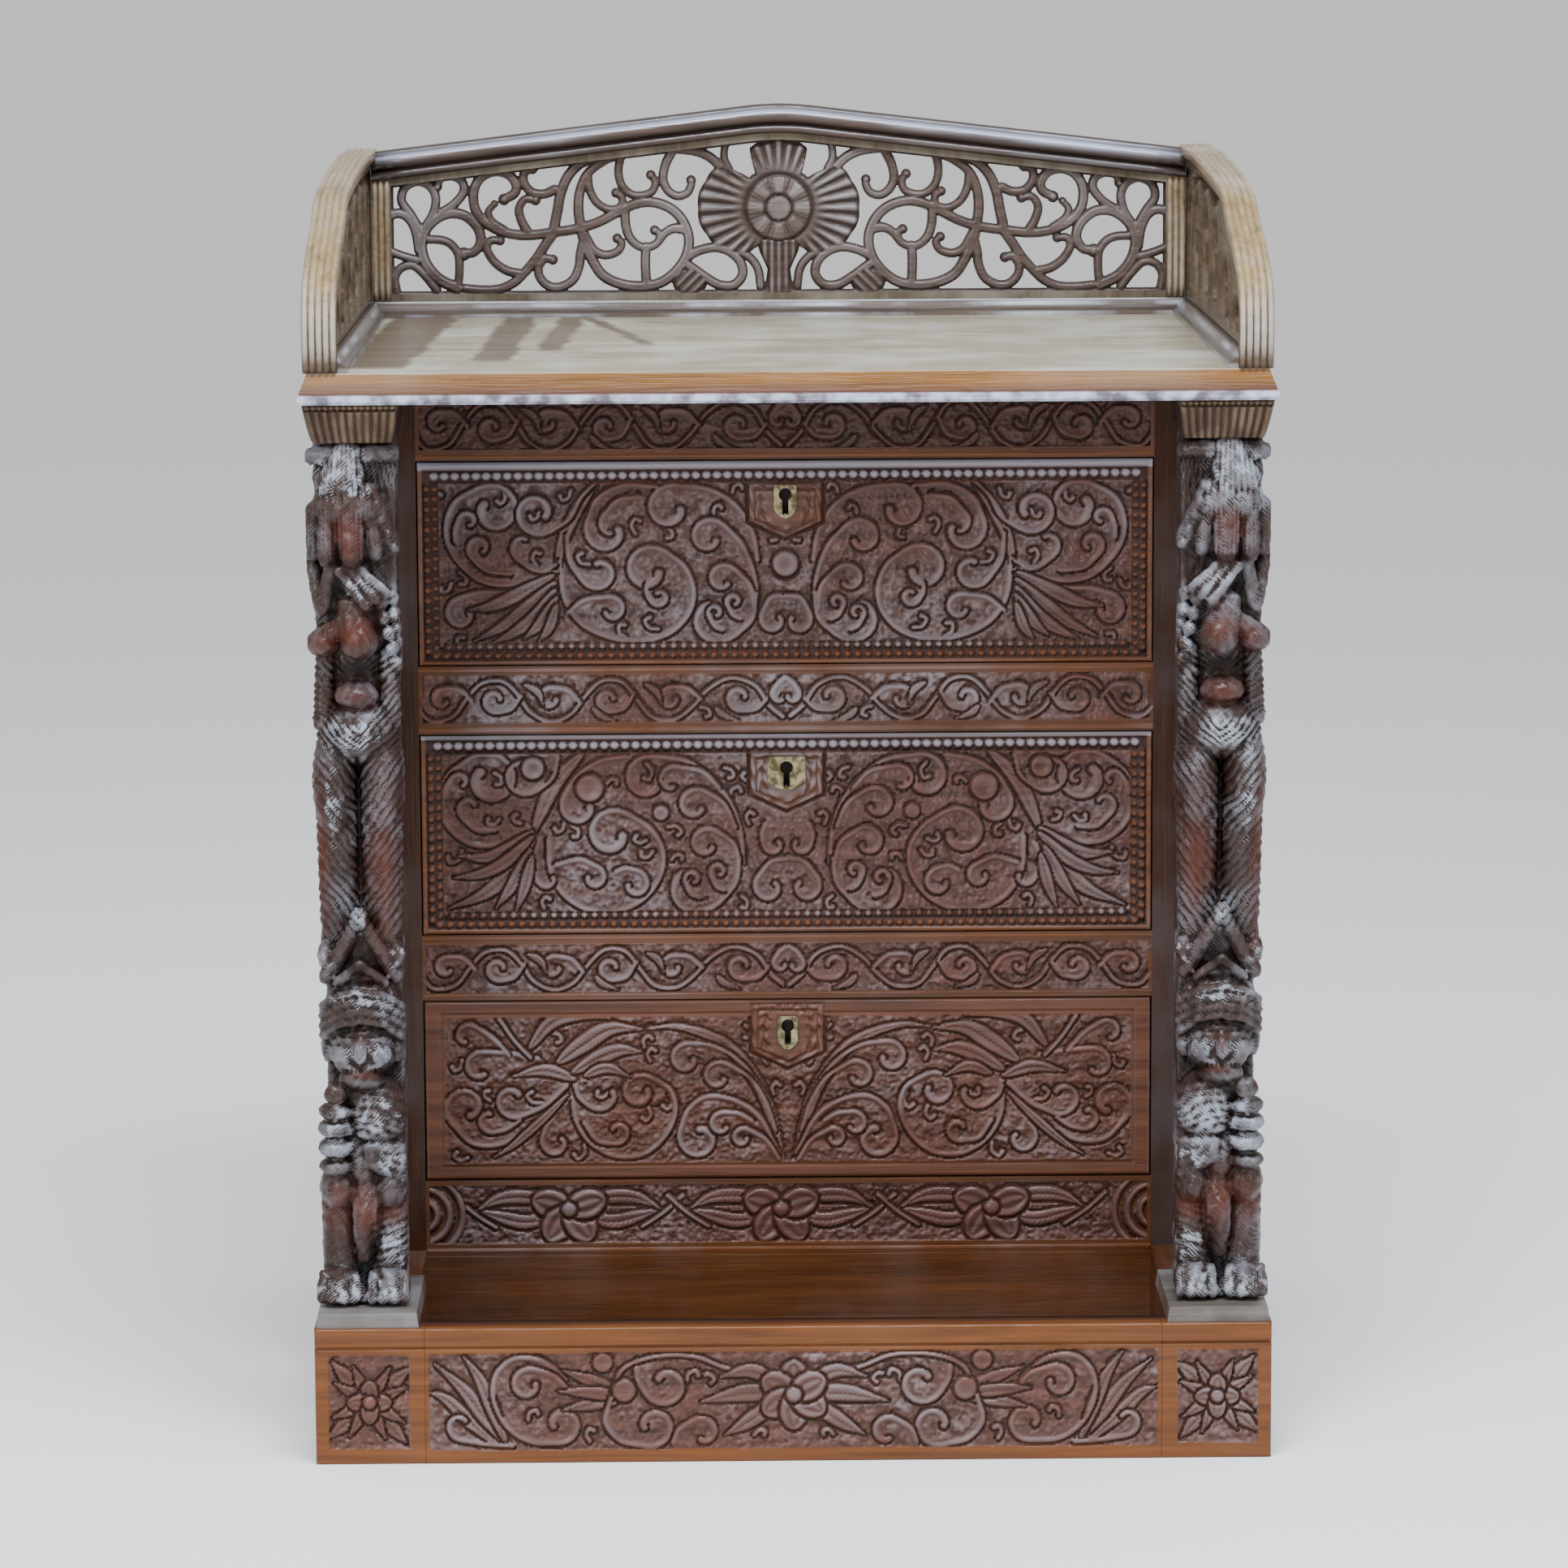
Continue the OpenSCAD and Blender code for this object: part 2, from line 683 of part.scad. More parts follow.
module lion_leg(s) {
  limb([s * 13, 30, 58], 10, [s * 13, 36, 16], 9);
  ball([s * 13, 28, 60], [10.5, 18, 14]);
  ball([s * 13, 44, 6], [11.5, 19, 10]);
  for (i = [-1.5 : 1 : 1.5])
    ball([s * 13 + i * 5.6, 60 - abs(i) * 1.5, 5], [2.9, 5, 6.5]);
}

module lion_trunk() {
  ball([0, 26, 84], [21, 24, 30]);
  limb([0, 36, 58], 7, [0, 40, 24], 5);
  for (s = [-1, 1]) {
    ball([s * 13, 42, 100], [7.5, 8, 7.5]);
    ball([s * 15.5, 38, 87], [8, 10, 6]);
    ball([s * 15.5, 38, 74], [8.5, 11, 6.5]);
    ball([s * 14, 36, 62], [9, 11, 6]);
  }
}

module lion_head() {
  ball([0, 30, 124], [17, 21, 22]);
  ball([0, 42, 107], [11, 9, 5]);
  limb([0, 50, 131], 2.5, [0, 52, 121], 4.6);
  limb([-9, 46, 113], 2.6, [9, 46, 113], 2.6);
  for (s = [-1, 1]) {
    ball([s * 9, 44, 122], [6.5, 7, 7.5]);
    limb([s * 3, 48, 136], 3, [s * 16, 38, 133], 3.2);
  }
}

// The tiered hat, under a pointed arch with a ball at its tip.
module lion_hat() {
  ball([0, 34, 150], [14, 12, 12]);
  ball([0, 36, 161], [8.5, 10, 8]);
  limb([-9, 43, 153], 3, [9, 43, 153], 3);
  for (s = [-1, 1]) {
    limb([0, 46, 145], 3.4, [s * 19, 30, 139], 4);
    limb([0, 36, 192], 4, [s * 18, 28, 154], 4.6);
    ball([s * 18, 24, 166], [5, 10, 9]);
  }
  ball([0, 38, 189], [6.5, 7, 9]);
  ball([0, 14, 168], [18, 16, 32]);
}

// Two folded wings that hang from a scaled breast.
module lion_wings() {
  ball([0, 26, 297], [20, 24, 18]);
  for (s = [-1, 1]) {
    ball([s * 11.5, 26, 272], [12, 24, 32]);
    limb([s * 11.5, 26, 258], 11, [s * 12, 22, 188], 8.5);
  }
}

// The upper mask: a ball held in an open mouth, between scaled cheeks.
module upper_mask() {
  ball([0, 14, 344], [19, 18, 48]);
  ball([0, 38, 317], [11.5, 11, 8]);
  ball([0, 34, 345], [14, 16, 9]);
  for (s = [-1, 1]) {
    limb([s * 17, 28, 336], 5, [s * 17.5, 32, 302], 5.5);
    limb([s * 3, 46, 374], 3.4, [s * 13, 38, 357], 4.4);
    ball([s * 7, 40, 354], [6.5, 8, 11]);
    ball([s * 17, 25, 371], [5.5, 10, 13]);
    ball([s * 18, 26, 348], [7, 10, 7]);
  }
}

// The hanging leaf under the capital: a fluted neck that spreads into lobes.
module leaf_drop() {
  limb([0, 38, 440], 9, [0, 36, 426], 14);
  ball([0, 34, 416], [21, 17, 15]);
  ball([0, 14, 410], [19, 17, 46]);
  for (i = [-2 : 2])
    limb([i * 8.6, 46 - abs(i) * 5, 414], 5.4, [i * 9.6, 46 - abs(i) * 6, 389], 4.2);
  for (s = [-1, 1]) ball([s * 15, 24, 440], [7, 13, 8]);
}

module lion(s) {
  color(dark_wood) on_side(s) translate([column_x, board_y, figure_z])
    intersection() {
      union() {
        for (side = [-1, 1]) lion_leg(side);
        lion_trunk();
        lion_head();
        lion_hat();
        lion_wings();
        upper_mask();
        leaf_drop();
      }
      block([-column_w / 2 - 1, -board_setback - base_proj + 8, 0],
            [capital_out - column_x, 0, figure_top - figure_z]);
    }
}

function lock_mid_y() = case_y - front_proud + front_t - lock_t / 2;

// A keyhole's outline, with its head at the origin and its slot down.
module keyhole_outline() {
  circle(key_r);
  translate([-key_slot_w / 2, -key_slot_l]) square([key_slot_w, key_slot_l]);
}

function front_half() = box_half - front_gap;
function front_low(d) = d[1] + front_gap;
function front_high(d) = d[1] + d[2] - front_gap;
function key_z(d) = front_high(d) - d[3];
function box_low(d) = d[1] + run_play;
function box_side_h(d) = d[2] - side_drop;
function box_out() = box_half - box_play;
function front_y0() = case_y - front_proud;
function front_y1() = front_y0() + front_t;
function box_back_y() = case_back_y - case_back_t - back_gap;
function lock_h(d) = d[3] + 16;

// The raised shield round a keyhole: half its width, then its two depths
// below the keyhole's head.
shield_half = 20;
shield_side = 14;
shield_tip = 22;

module shield_outline() {
  polygon([[-shield_half, 12], [shield_half, 12], [shield_half - 2, -shield_side],
           [0, -shield_tip], [2 - shield_half, -shield_side]]);
}

module drawer_front(d) {
  lip = drawer_border;
  color(dark_wood) difference() {
    block([-front_half(), front_y0(), front_low(d)],
          [front_half(), front_y1(), front_high(d)]);
    difference() {
      block([-front_half() + lip, front_y0() - 1, front_low(d) + lip],
            [front_half() - lip, front_y0() + ground_sunk, front_high(d) - lip + 1]);
      translate([0, 0, key_z(d)]) board_xz(front_y0() - 2, front_y0() + ground_sunk + 1)
        shield_outline();
    }
    translate([0, 0, key_z(d)]) board_xz(front_y0() - 1, front_y1()) keyhole_outline();
    translate([0, 0, key_z(d)]) board_xz(front_y0() - 1, front_y0() + plate_t)
      plate_outline(d);
    block([-lock_w / 2, front_y1() - lock_t, front_high(d) - lock_h(d)],
          [lock_w / 2, front_y1() + 1, front_high(d) + 1]);
    // The groove for the bottom.
    block([-box_out() + groove_d, front_y1() - groove_d, box_low(d) + groove_lift],
          [box_out() - groove_d, front_y1() + 1,
           box_low(d) + groove_lift + drawer_bottom_t]);
  }
}

// The brass plate's outline: square-topped on the two upper drawers, and a
// small shield on the lowest.
module plate_outline(d) {
  w = d[0] == "middle" ? 10.5 : d[0] == "top" ? 7.5 : 5.6;
  polygon([[-w, 6.5], [w, 6.5], [w, -8], [w * 0.7, -12], [0, -14.5], [-w * 0.7, -12],
           [-w, -8]]);
}

module keyhole_plate(d) {
  color(brass) translate([0, 0, key_z(d)]) board_xz(front_y0(), front_y0() + plate_t)
    difference() {
      plate_outline(d);
      keyhole_outline();
    }
}

module lock_case(d) {
  z1 = front_high(d);
  y = lock_mid_y();
  color(brass) difference() {
    block([-lock_w / 2, front_y1() - lock_t, z1 - lock_h(d)],
          [lock_w / 2, front_y1(), z1]);
    block([-bolt_w / 2 - bolt_play, y - bolt_t / 2 - bolt_play, z1 - bolt_l - 1.5],
          [bolt_w / 2 + bolt_play, y + bolt_t / 2 + bolt_play, z1 + 1]);
    translate([0, 0, key_z(d)])
      board_xz(front_y1() - lock_t - 1, front_y1() - 1.5) keyhole_outline();
  }
}

module lock_bolt(d) {
  z1 = front_high(d) - run_play;
  y = lock_mid_y();
  color(steel)
    block([-bolt_w / 2, y - bolt_t / 2, z1 - bolt_l], [bolt_w / 2, y + bolt_t / 2, z1]);
}

module drawer_side(d, s) {
  x = box_out();
  color(warm_wood) on_side(s) difference() {
    block([x - drawer_side_t, front_y1(), box_low(d)],
          [x, box_back_y(), box_low(d) + box_side_h(d)]);
    block([x - drawer_side_t - 1, front_y1() - 1, box_low(d) + groove_lift],
          [x - drawer_side_t + groove_d, box_back_y() + 1,
           box_low(d) + groove_lift + drawer_bottom_t]);
  }
}

module drawer_back(d) {
  x = box_out() - drawer_side_t;
  color(warm_wood)
    block([-x, box_back_y() - drawer_side_t, box_low(d) + groove_lift + drawer_bottom_t],
          [x, box_back_y(), box_low(d) + box_side_h(d) - 4]);
}

module drawer_bottom(d) {
  x = box_out() - drawer_side_t + groove_d;
  color(warm_wood)
    block([-x, front_y1() - groove_d, box_low(d) + groove_lift],
          [x, box_back_y(), box_low(d) + groove_lift + drawer_bottom_t]);
}

table_top();
gallery_crest_rail();
gallery_back_frame();
gallery_fret();
gallery_side(-1);  // gallery_side_left
gallery_side(1);  // gallery_side_right
gallery_foot_mouldings();
case_side(-1);  // case_side_left
case_side(1);  // case_side_right
case_back();
stile(-1);  // stile_left
stile(1);  // stile_right
frieze_rail();
upper_rail();
lower_rail();
floral_rail();
runners(-1);  // runners_left
runners(1);  // runners_right
base_front();
corner_block(-1);  // corner_block_left
corner_block(1);  // corner_block_right
base_side(-1);  // base_side_left
base_side(1);  // base_side_right
base_back();
trough_back();
trough_floor();
trough_side(-1);  // trough_side_left
trough_side(1);  // trough_side_right
capital(-1);  // capital_left
capital(1);  // capital_right
lion(-1);  // lion_left
lion(1);  // lion_right
column_board(-1);  // column_board_left
column_board(1);  // column_board_right
lion_plinths();
for (d = drawers) {
  drawer_front(d);
  drawer_side(d, -1);
  drawer_side(d, 1);
  drawer_back(d);
  drawer_bottom(d);
  keyhole_plate(d);
  lock_case(d);
  lock_bolt(d);
}
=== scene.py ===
# %% [markdown]
# # A carved table-top chest, dressed in Blender
# The joinery comes from the CAD frame and stays where it is. This file adds
# what a carver and a polisher add: the relief on the drawers, rails and base,
# the pierced gallery, the lion columns, the brass, and the finish of the wood.
# Lengths below are in millimetres and become metres when a mesh is made.

import math

import bmesh
import bpy
import numpy as np
from mathutils import Matrix, Vector


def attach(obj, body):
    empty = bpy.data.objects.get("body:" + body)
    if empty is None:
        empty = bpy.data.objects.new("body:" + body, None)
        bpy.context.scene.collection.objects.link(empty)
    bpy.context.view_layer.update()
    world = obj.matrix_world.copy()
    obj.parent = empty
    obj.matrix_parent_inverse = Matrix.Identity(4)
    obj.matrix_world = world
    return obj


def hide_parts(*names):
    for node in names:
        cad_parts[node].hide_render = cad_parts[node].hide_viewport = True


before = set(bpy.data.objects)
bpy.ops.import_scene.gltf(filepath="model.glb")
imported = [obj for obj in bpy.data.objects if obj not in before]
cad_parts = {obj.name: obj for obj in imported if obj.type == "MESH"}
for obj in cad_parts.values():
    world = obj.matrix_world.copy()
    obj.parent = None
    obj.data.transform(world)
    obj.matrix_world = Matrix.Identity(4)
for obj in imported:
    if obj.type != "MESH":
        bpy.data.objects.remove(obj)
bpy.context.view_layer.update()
MM = 0.001
rng = np.random.default_rng(7)

# %% [markdown]
# A few short steps come back in every part of the file, such as putting an
# object in the scene, or finding the edges round an opening. They are kept here.


# %% Small helpers for objects
def placed(name, data):
    """A new object in the scene."""
    obj = bpy.data.objects.new(name, data)
    bpy.context.scene.collection.objects.link(obj)
    return obj


def mesh_from(name, bm):
    """A mesh of what was built in bm, which is freed."""
    mesh = bpy.data.meshes.new(name)
    bm.to_mesh(mesh)
    bm.free()
    return mesh


def points_in(geom):
    return [v for v in geom if isinstance(v, bmesh.types.BMVert)]


def open_rim(bm):
    return [e for e in bm.edges if e.is_boundary]


print("helpers ready")

# %% [markdown]
# ## The camera
# The photograph was taken from straight in front, a little above the table top,
# with a long lens. Its place was worked out from the chest's level edges, so
# each piece lands where the photograph has it.

# %% Camera
PHOTO_WIDTH, FOCAL_LENGTH = 1932.0, 7249.1  # in pixels
camera = placed("camera", bpy.data.cameras.new("camera"))
camera.data.sensor_width = 36.0
camera.data.lens = 36.0 * FOCAL_LENGTH / PHOTO_WIDTH
camera.data.clip_end = 50.0
camera.location = (-0.0399, -3.1756, 0.8165)
pitch, yaw, roll = 0.1540, 0.0130, -0.0048
camera.rotation_euler = (math.pi / 2 - pitch, -roll, -yaw)
camera.rotation_mode = "XYZ"
bpy.context.scene.camera = camera
print("lens", round(camera.data.lens, 1), "mm")

# %% [markdown]
# ## Wood that has been handled for a century
# The chest is one dark timber, but it reads as many: brown-purple in the carved
# fields, orange where the plain borders were rubbed, grey on the table top.
# A grain group is shared by every wood. It reads Object coordinates, and each
# material turns it to the way that its board was cut.

# %% Node helpers
def new_group(name, inputs, outputs):
    """A node group whose sockets have the given labels, kinds and values."""
    group = bpy.data.node_groups.new(name, "ShaderNodeTree")
    for label, kind, value in inputs:
        socket = group.interface.new_socket(label, in_out="INPUT", socket_type=kind)
        if value is not None:
            socket.default_value = value
    for label, kind in outputs:
        group.interface.new_socket(label, in_out="OUTPUT", socket_type=kind)
    return group


def node(tree, kind, values=None, **settings):
    """A new node. Each of its inputs gets a number, a colour or a link."""
    made = tree.nodes.new(kind)
    for key, value in settings.items():
        setattr(made, key, value)
    for key, value in (values or {}).items():
        if isinstance(value, bpy.types.NodeSocket):
            tree.links.new(value, made.inputs[key])
        else:
            made.inputs[key].default_value = value
    return made


def math_node(tree, operation, *values, clamp=False):
    return node(tree, "ShaderNodeMath", dict(enumerate(values)), operation=operation,
                use_clamp=clamp).outputs[0]


def mix_colour(tree, factor, a, b, blend="MIX"):
    return node(tree, "ShaderNodeMix", {0: factor, 6: a, 7: b}, data_type="RGBA",
                blend_type=blend).outputs[2]


def ramp(tree, value, low, high):
    """0 at low, 1 at high, and a straight line between them."""
    return node(tree, "ShaderNodeMapRange",
                {"Value": value, "From Min": low, "From Max": high}, clamp=True).outputs[0]


def noise(tree, vector, scale, detail, roughness=0.5, distortion=0.0):
    return node(tree, "ShaderNodeTexNoise",
                {"Vector": vector, "Scale": scale, "Detail": detail, "Roughness": roughness,
                 "Distortion": distortion}).outputs["Fac"]


def object_point(tree):
    """Object coordinates, whole and then split in three."""
    where = node(tree, "ShaderNodeTexCoord").outputs["Object"]
    return where, node(tree, "ShaderNodeSeparateXYZ", {0: where}).outputs


# %% The grain group
FLOAT, COLOUR, VECTOR = "NodeSocketFloat", "NodeSocketColor", "NodeSocketVector"
grain = new_group(
    "wood_grain",
    [("Vector", VECTOR, None), ("Fineness", FLOAT, 1.0), ("Blotch Size", FLOAT, 14.0)],
    [("Grain", FLOAT), ("Blotch", FLOAT), ("Pores", FLOAT)],
)
take = node(grain, "NodeGroupInput").outputs
give = node(grain, "NodeGroupOutput").inputs
along_grain = node(grain, "ShaderNodeVectorMath", {0: take["Vector"], 1: (9.0, 220.0, 220.0)},
                   operation="MULTIPLY").outputs[0]
bands = noise(grain, along_grain, take["Fineness"], 5.0, 0.6, 0.4)
pores = noise(grain, along_grain, math_node(grain, "MULTIPLY", take["Fineness"], 4.0), 2.0)
blotches = noise(grain, take["Vector"], take["Blotch Size"], 4.0, 0.55)
grain.links.new(ramp(grain, bands, 0.3, 0.72), give["Grain"])
grain.links.new(ramp(grain, blotches, 0.32, 0.68), give["Blotch"])
grain.links.new(ramp(grain, pores, 0.35, 0.6), give["Pores"])

# %% [markdown]
# The second group lays the colours over each other: the deep wood, with dirt
# and painted shade in the cuts, then the polish on top of it, the warm tone of
# the rubbed borders, and last a pale haze on what stands highest, which is also
# a painted sheen and highlight. Masks from the carving come in as numbers.

# %% The patina group
patina = new_group(
    "patina",
    [(label, COLOUR, None) for label in ("Deep", "Polish", "Warm", "Haze And Sheen")]
    + [("Height", FLOAT, 0.5), ("Warmth", FLOAT, 0.0), ("Haze And Sheen Amount", FLOAT, 0.3),
       ("Grain", FLOAT, 0.5), ("Blotch", FLOAT, 0.5), ("Pores", FLOAT, 0.5)],
    [("Color", COLOUR), ("Roughness", FLOAT), ("Bump", FLOAT)],
)
take = node(patina, "NodeGroupInput").outputs
give = node(patina, "NodeGroupOutput").inputs
polished = math_node(patina, "POWER", take["Height"], 0.8, clamp=True)
colour = mix_colour(patina, polished, take["Deep"], take["Polish"])
colour = mix_colour(patina, take["Warmth"], colour, take["Warm"])
dark_grain = math_node(patina, "MULTIPLY_ADD", take["Grain"], 0.75, 0.62)
shade = node(patina, "ShaderNodeCombineColor", {0: dark_grain, 1: dark_grain, 2: dark_grain})
colour = mix_colour(patina, 1.0, colour, shade.outputs[0], "MULTIPLY")
# Pale haze and painted sheen on what stands highest, full where the amount nears 1.
haze_and_sheen_mask = math_node(patina, "MULTIPLY", ramp(patina, take["Blotch"], 0.35, 0.9),
                    ramp(patina, take["Height"], 0.45, 0.95))
haze_and_sheen_mask = math_node(patina, "MULTIPLY", haze_and_sheen_mask, take["Haze And Sheen Amount"], clamp=True)
rubbed_bare_and_highlit = math_node(patina, "MULTIPLY", ramp(patina, take["Haze And Sheen Amount"], 0.8, 1.0),
                        ramp(patina, take["Height"], 0.5, 1.0))
haze_and_sheen_mask = math_node(patina, "MAXIMUM", haze_and_sheen_mask, math_node(patina, "MULTIPLY", rubbed_bare_and_highlit, 0.9))
patina.links.new(mix_colour(patina, haze_and_sheen_mask, colour, take["Haze And Sheen"]), give["Color"])
rough = math_node(patina, "MULTIPLY_ADD", take["Blotch"], 0.16, 0.30)
rough = math_node(patina, "SUBTRACT", rough, math_node(patina, "MULTIPLY", take["Height"], 0.06))
patina.links.new(rough, give["Roughness"])
dents = math_node(patina, "ADD", math_node(patina, "MULTIPLY", take["Pores"], 0.5),
                  math_node(patina, "MULTIPLY", take["Grain"], 0.5))
patina.links.new(dents, give["Bump"])
print("groups:", [g.name for g in bpy.data.node_groups])


# %% A wood material from the two groups
def rgb(r, g, b):
    return (r, g, b, 1.0)


def new_material(name, constants):
    """A material, its node tree and its shader, with the shader's constants."""
    material = bpy.data.materials.new(name)
    material.use_nodes = True
    tree = material.node_tree
    shader = tree.nodes["Principled BSDF"]
    for label, value in constants.items():
        shader.inputs[label].default_value = value
    return material, tree, shader


# The last colour is a pale haze that also serves as a painted sheen and highlight on what stands
# highest.
DEEP = rgb(0.009, 0.003, 0.002)
POLISH = rgb(0.112, 0.051, 0.042)
WARM = rgb(0.135, 0.044, 0.010)
HAZE_AND_SHEEN = rgb(0.315, 0.305, 0.340)


def wood(name, along="X", deep=DEEP, polish=POLISH, warm=WARM, haze_and_sheen=HAZE_AND_SHEEN,
         haze_and_sheen_amount=0.3, height=0.7, warmth=0.0, masks=False, fineness=1.0,
         blotch=14.0, bump=0.25, coat=0.12, shine=0.22):
    """along is the axis that the grain follows. With masks, the height, warmth and
    the amount of haze and painted sheen come from the mesh's own attributes
    instead of one value for all."""
    material, tree, shader = new_material(name, {
        "Coat Weight": coat, "Coat Roughness": 0.20, "Specular IOR Level": shine})
    angles = {"X": (0, 0, 0), "Y": (0, 0, math.pi / 2), "Z": (0, math.pi / 2, 0)}
    where = node(tree, "ShaderNodeTexCoord").outputs["Object"]
    turned = node(tree, "ShaderNodeMapping", {"Vector": where, "Rotation": angles[along]})
    grains = node(tree, "ShaderNodeGroup", node_tree=grain)
    grains.inputs["Fineness"].default_value = fineness
    grains.inputs["Blotch Size"].default_value = blotch
    tree.links.new(turned.outputs["Vector"], grains.inputs["Vector"])
    layers = node(tree, "ShaderNodeGroup", node_tree=patina)
    for label, value in (("Deep", deep), ("Polish", polish), ("Warm", warm),
                         ("Haze And Sheen", haze_and_sheen), ("Height", height), ("Warmth", warmth),
                         ("Haze And Sheen Amount", haze_and_sheen_amount)):
        layers.inputs[label].default_value = value
    for label in ("Grain", "Blotch", "Pores"):
        tree.links.new(grains.outputs[label], layers.inputs[label])
    if masks:
        relief, border, wear_and_sheen = (
            node(tree, "ShaderNodeAttribute", attribute_name=mask).outputs["Fac"]
            for mask in ("relief", "border", "wear_and_sheen"))
        tree.links.new(relief, layers.inputs["Height"])
        tree.links.new(border, layers.inputs["Warmth"])
        tree.links.new(wear_and_sheen, layers.inputs["Haze And Sheen Amount"])
        varnish = math_node(tree, "MULTIPLY", relief, coat)
        tree.links.new(varnish, shader.inputs["Coat Weight"])
    tree.links.new(layers.outputs["Color"], shader.inputs["Base Color"])
    tree.links.new(layers.outputs["Roughness"], shader.inputs["Roughness"])
    bumps = node(tree, "ShaderNodeBump", {"Strength": bump, "Distance": 0.0006,
                                          "Height": layers.outputs["Bump"]})
    tree.links.new(bumps.outputs["Normal"], shader.inputs["Normal"])
    return material


def patina_of(material):
    return next(n for n in material.node_tree.nodes
                if n.type == "GROUP" and n.node_tree.name == "patina")


carved_finish = wood("carved_wood", "X", masks=True)
capital_finish = wood("capital_wood", "Z", masks=True, deep=rgb(0.010, 0.005, 0.003),
                      polish=rgb(0.062, 0.038, 0.020), warm=rgb(0.065, 0.024, 0.012),
                      haze_and_sheen=rgb(0.19, 0.145, 0.085), blotch=60.0)
# Its pale blue haze is a painted sheen.
crest_finish = wood("crest_wood", "X", masks=True, deep=rgb(0.012, 0.006, 0.005),
                    polish=rgb(0.080, 0.052, 0.042), haze_and_sheen=rgb(0.30, 0.31, 0.395),
                    coat=0.6, shine=0.4, blotch=9.0)
gallery_finish = wood("gallery_wood", "X", masks=True, fineness=1.6,
                      deep=rgb(0.012, 0.006, 0.005), polish=rgb(0.098, 0.066, 0.056),
                      haze_and_sheen=rgb(0.30, 0.27, 0.27))
side_finish = wood("gallery_side_wood", "Y", masks=True,
                   deep=rgb(0.03, 0.018, 0.010), polish=rgb(0.17, 0.12, 0.075),
                   warm=rgb(0.30, 0.20, 0.08), haze_and_sheen=rgb(0.50, 0.47, 0.43))
# Its pale blue-grey haze is partly a painted sheen.
figure_finish = wood("figure_wood", "Z", masks=True, blotch=30.0,
                     deep=rgb(0.003, 0.0015, 0.0015), polish=rgb(0.044, 0.026, 0.022),
                     warm=rgb(0.066, 0.015, 0.007), haze_and_sheen=rgb(0.305, 0.325, 0.375),
                     bump=0.5, coat=0.25, shine=0.16)
board_finish = {
    axis: wood("plain_wood_" + axis.lower(), axis, polish=rgb(0.075, 0.028, 0.012),
               warmth=0.3, haze_and_sheen_amount=0.10)
    for axis in "XYZ"
}
dry_finish = {
    axis: wood("dry_wood_" + axis.lower(), axis, deep=rgb(0.16, 0.09, 0.04),
               polish=rgb(0.30, 0.19, 0.10), haze_and_sheen=rgb(0.42, 0.34, 0.25),
               haze_and_sheen_amount=0.3, coat=0.0)
    for axis in "XYZ"
}
print("wood finishes:", sum(m.name.endswith(("wood", "_x", "_y", "_z"))
                            for m in bpy.data.materials))

# %% [markdown]
# ## Brass and iron
# The keyhole plates are old brass, dull and a little green. Their colour comes
# from a fine noise, because brass tarnishes in clouds and not evenly.


# %% Metal finishes
def metal(name, bright, dull, roughness):
    material, tree, shader = new_material(name, {"Metallic": 0.85})
    where = node(tree, "ShaderNodeTexCoord").outputs["Object"]
    mask = ramp(tree, noise(tree, where, 260.0, 5.0), 0.38, 0.62)
    tree.links.new(mix_colour(tree, mask, bright, dull), shader.inputs["Base Color"])
    tree.links.new(math_node(tree, "MULTIPLY_ADD", mask, 0.2, roughness),
                   shader.inputs["Roughness"])
    return material


brass_finish = metal("brass", rgb(0.34, 0.29, 0.17), rgb(0.10, 0.085, 0.04), 0.38)
iron_finish = metal("iron", rgb(0.30, 0.29, 0.28), rgb(0.16, 0.12, 0.09), 0.42)
print("metals ready")

# %% [markdown]
# ## The table top's wax
# The top is the palest wood: its polish was worn away and it went grey-olive,
# with four dark stains on its left half. Its front edge kept its orange tone,
# with a painted shade darkening it towards the bead under it, and the bead has a
# painted pale-blue reflection over darker lilac. One material does it all, and
# the height on the board tells the three apart.


# %% Table-top finish
EDGE_TOP, BEAD_TOP = 0.5650, 0.5545
# Each stain's left and right edges at the back, where it starts in front, and
# how far it leans, in metres.
stains = ((-0.222, -0.186, -0.165, -0.036), (-0.160, -0.140, -0.125, -0.02),
          (-0.127, -0.113, -0.060, -0.03), (-0.116, -0.108, -0.020, 0.19))


def stained(tree, where, x, y):
    """1 in the stains, whose edges wander, and 0 round them."""
    cloud = noise(tree, where, 26.0, 3.0, distortion=0.8)
    wander = math_node(tree, "MULTIPLY", math_node(tree, "SUBTRACT", cloud), 0.01)
    from_back = math_node(tree, "SUBTRACT", y, 0.186)
    whole = None
    for left, right, start, lean in stains:
        across = math_node(tree, "ADD", math_node(tree, "ADD", x, wander),
                           math_node(tree, "MULTIPLY", from_back, lean))
        stain = math_node(tree, "MULTIPLY", ramp(tree, across, left, left + 0.004),
                          ramp(tree, across, right + 0.004, right))
        stain = math_node(tree, "MULTIPLY", stain, ramp(tree, y, start, start + 0.02))
        whole = stain if whole is None else math_node(tree, "MAXIMUM", whole, stain)
    return whole


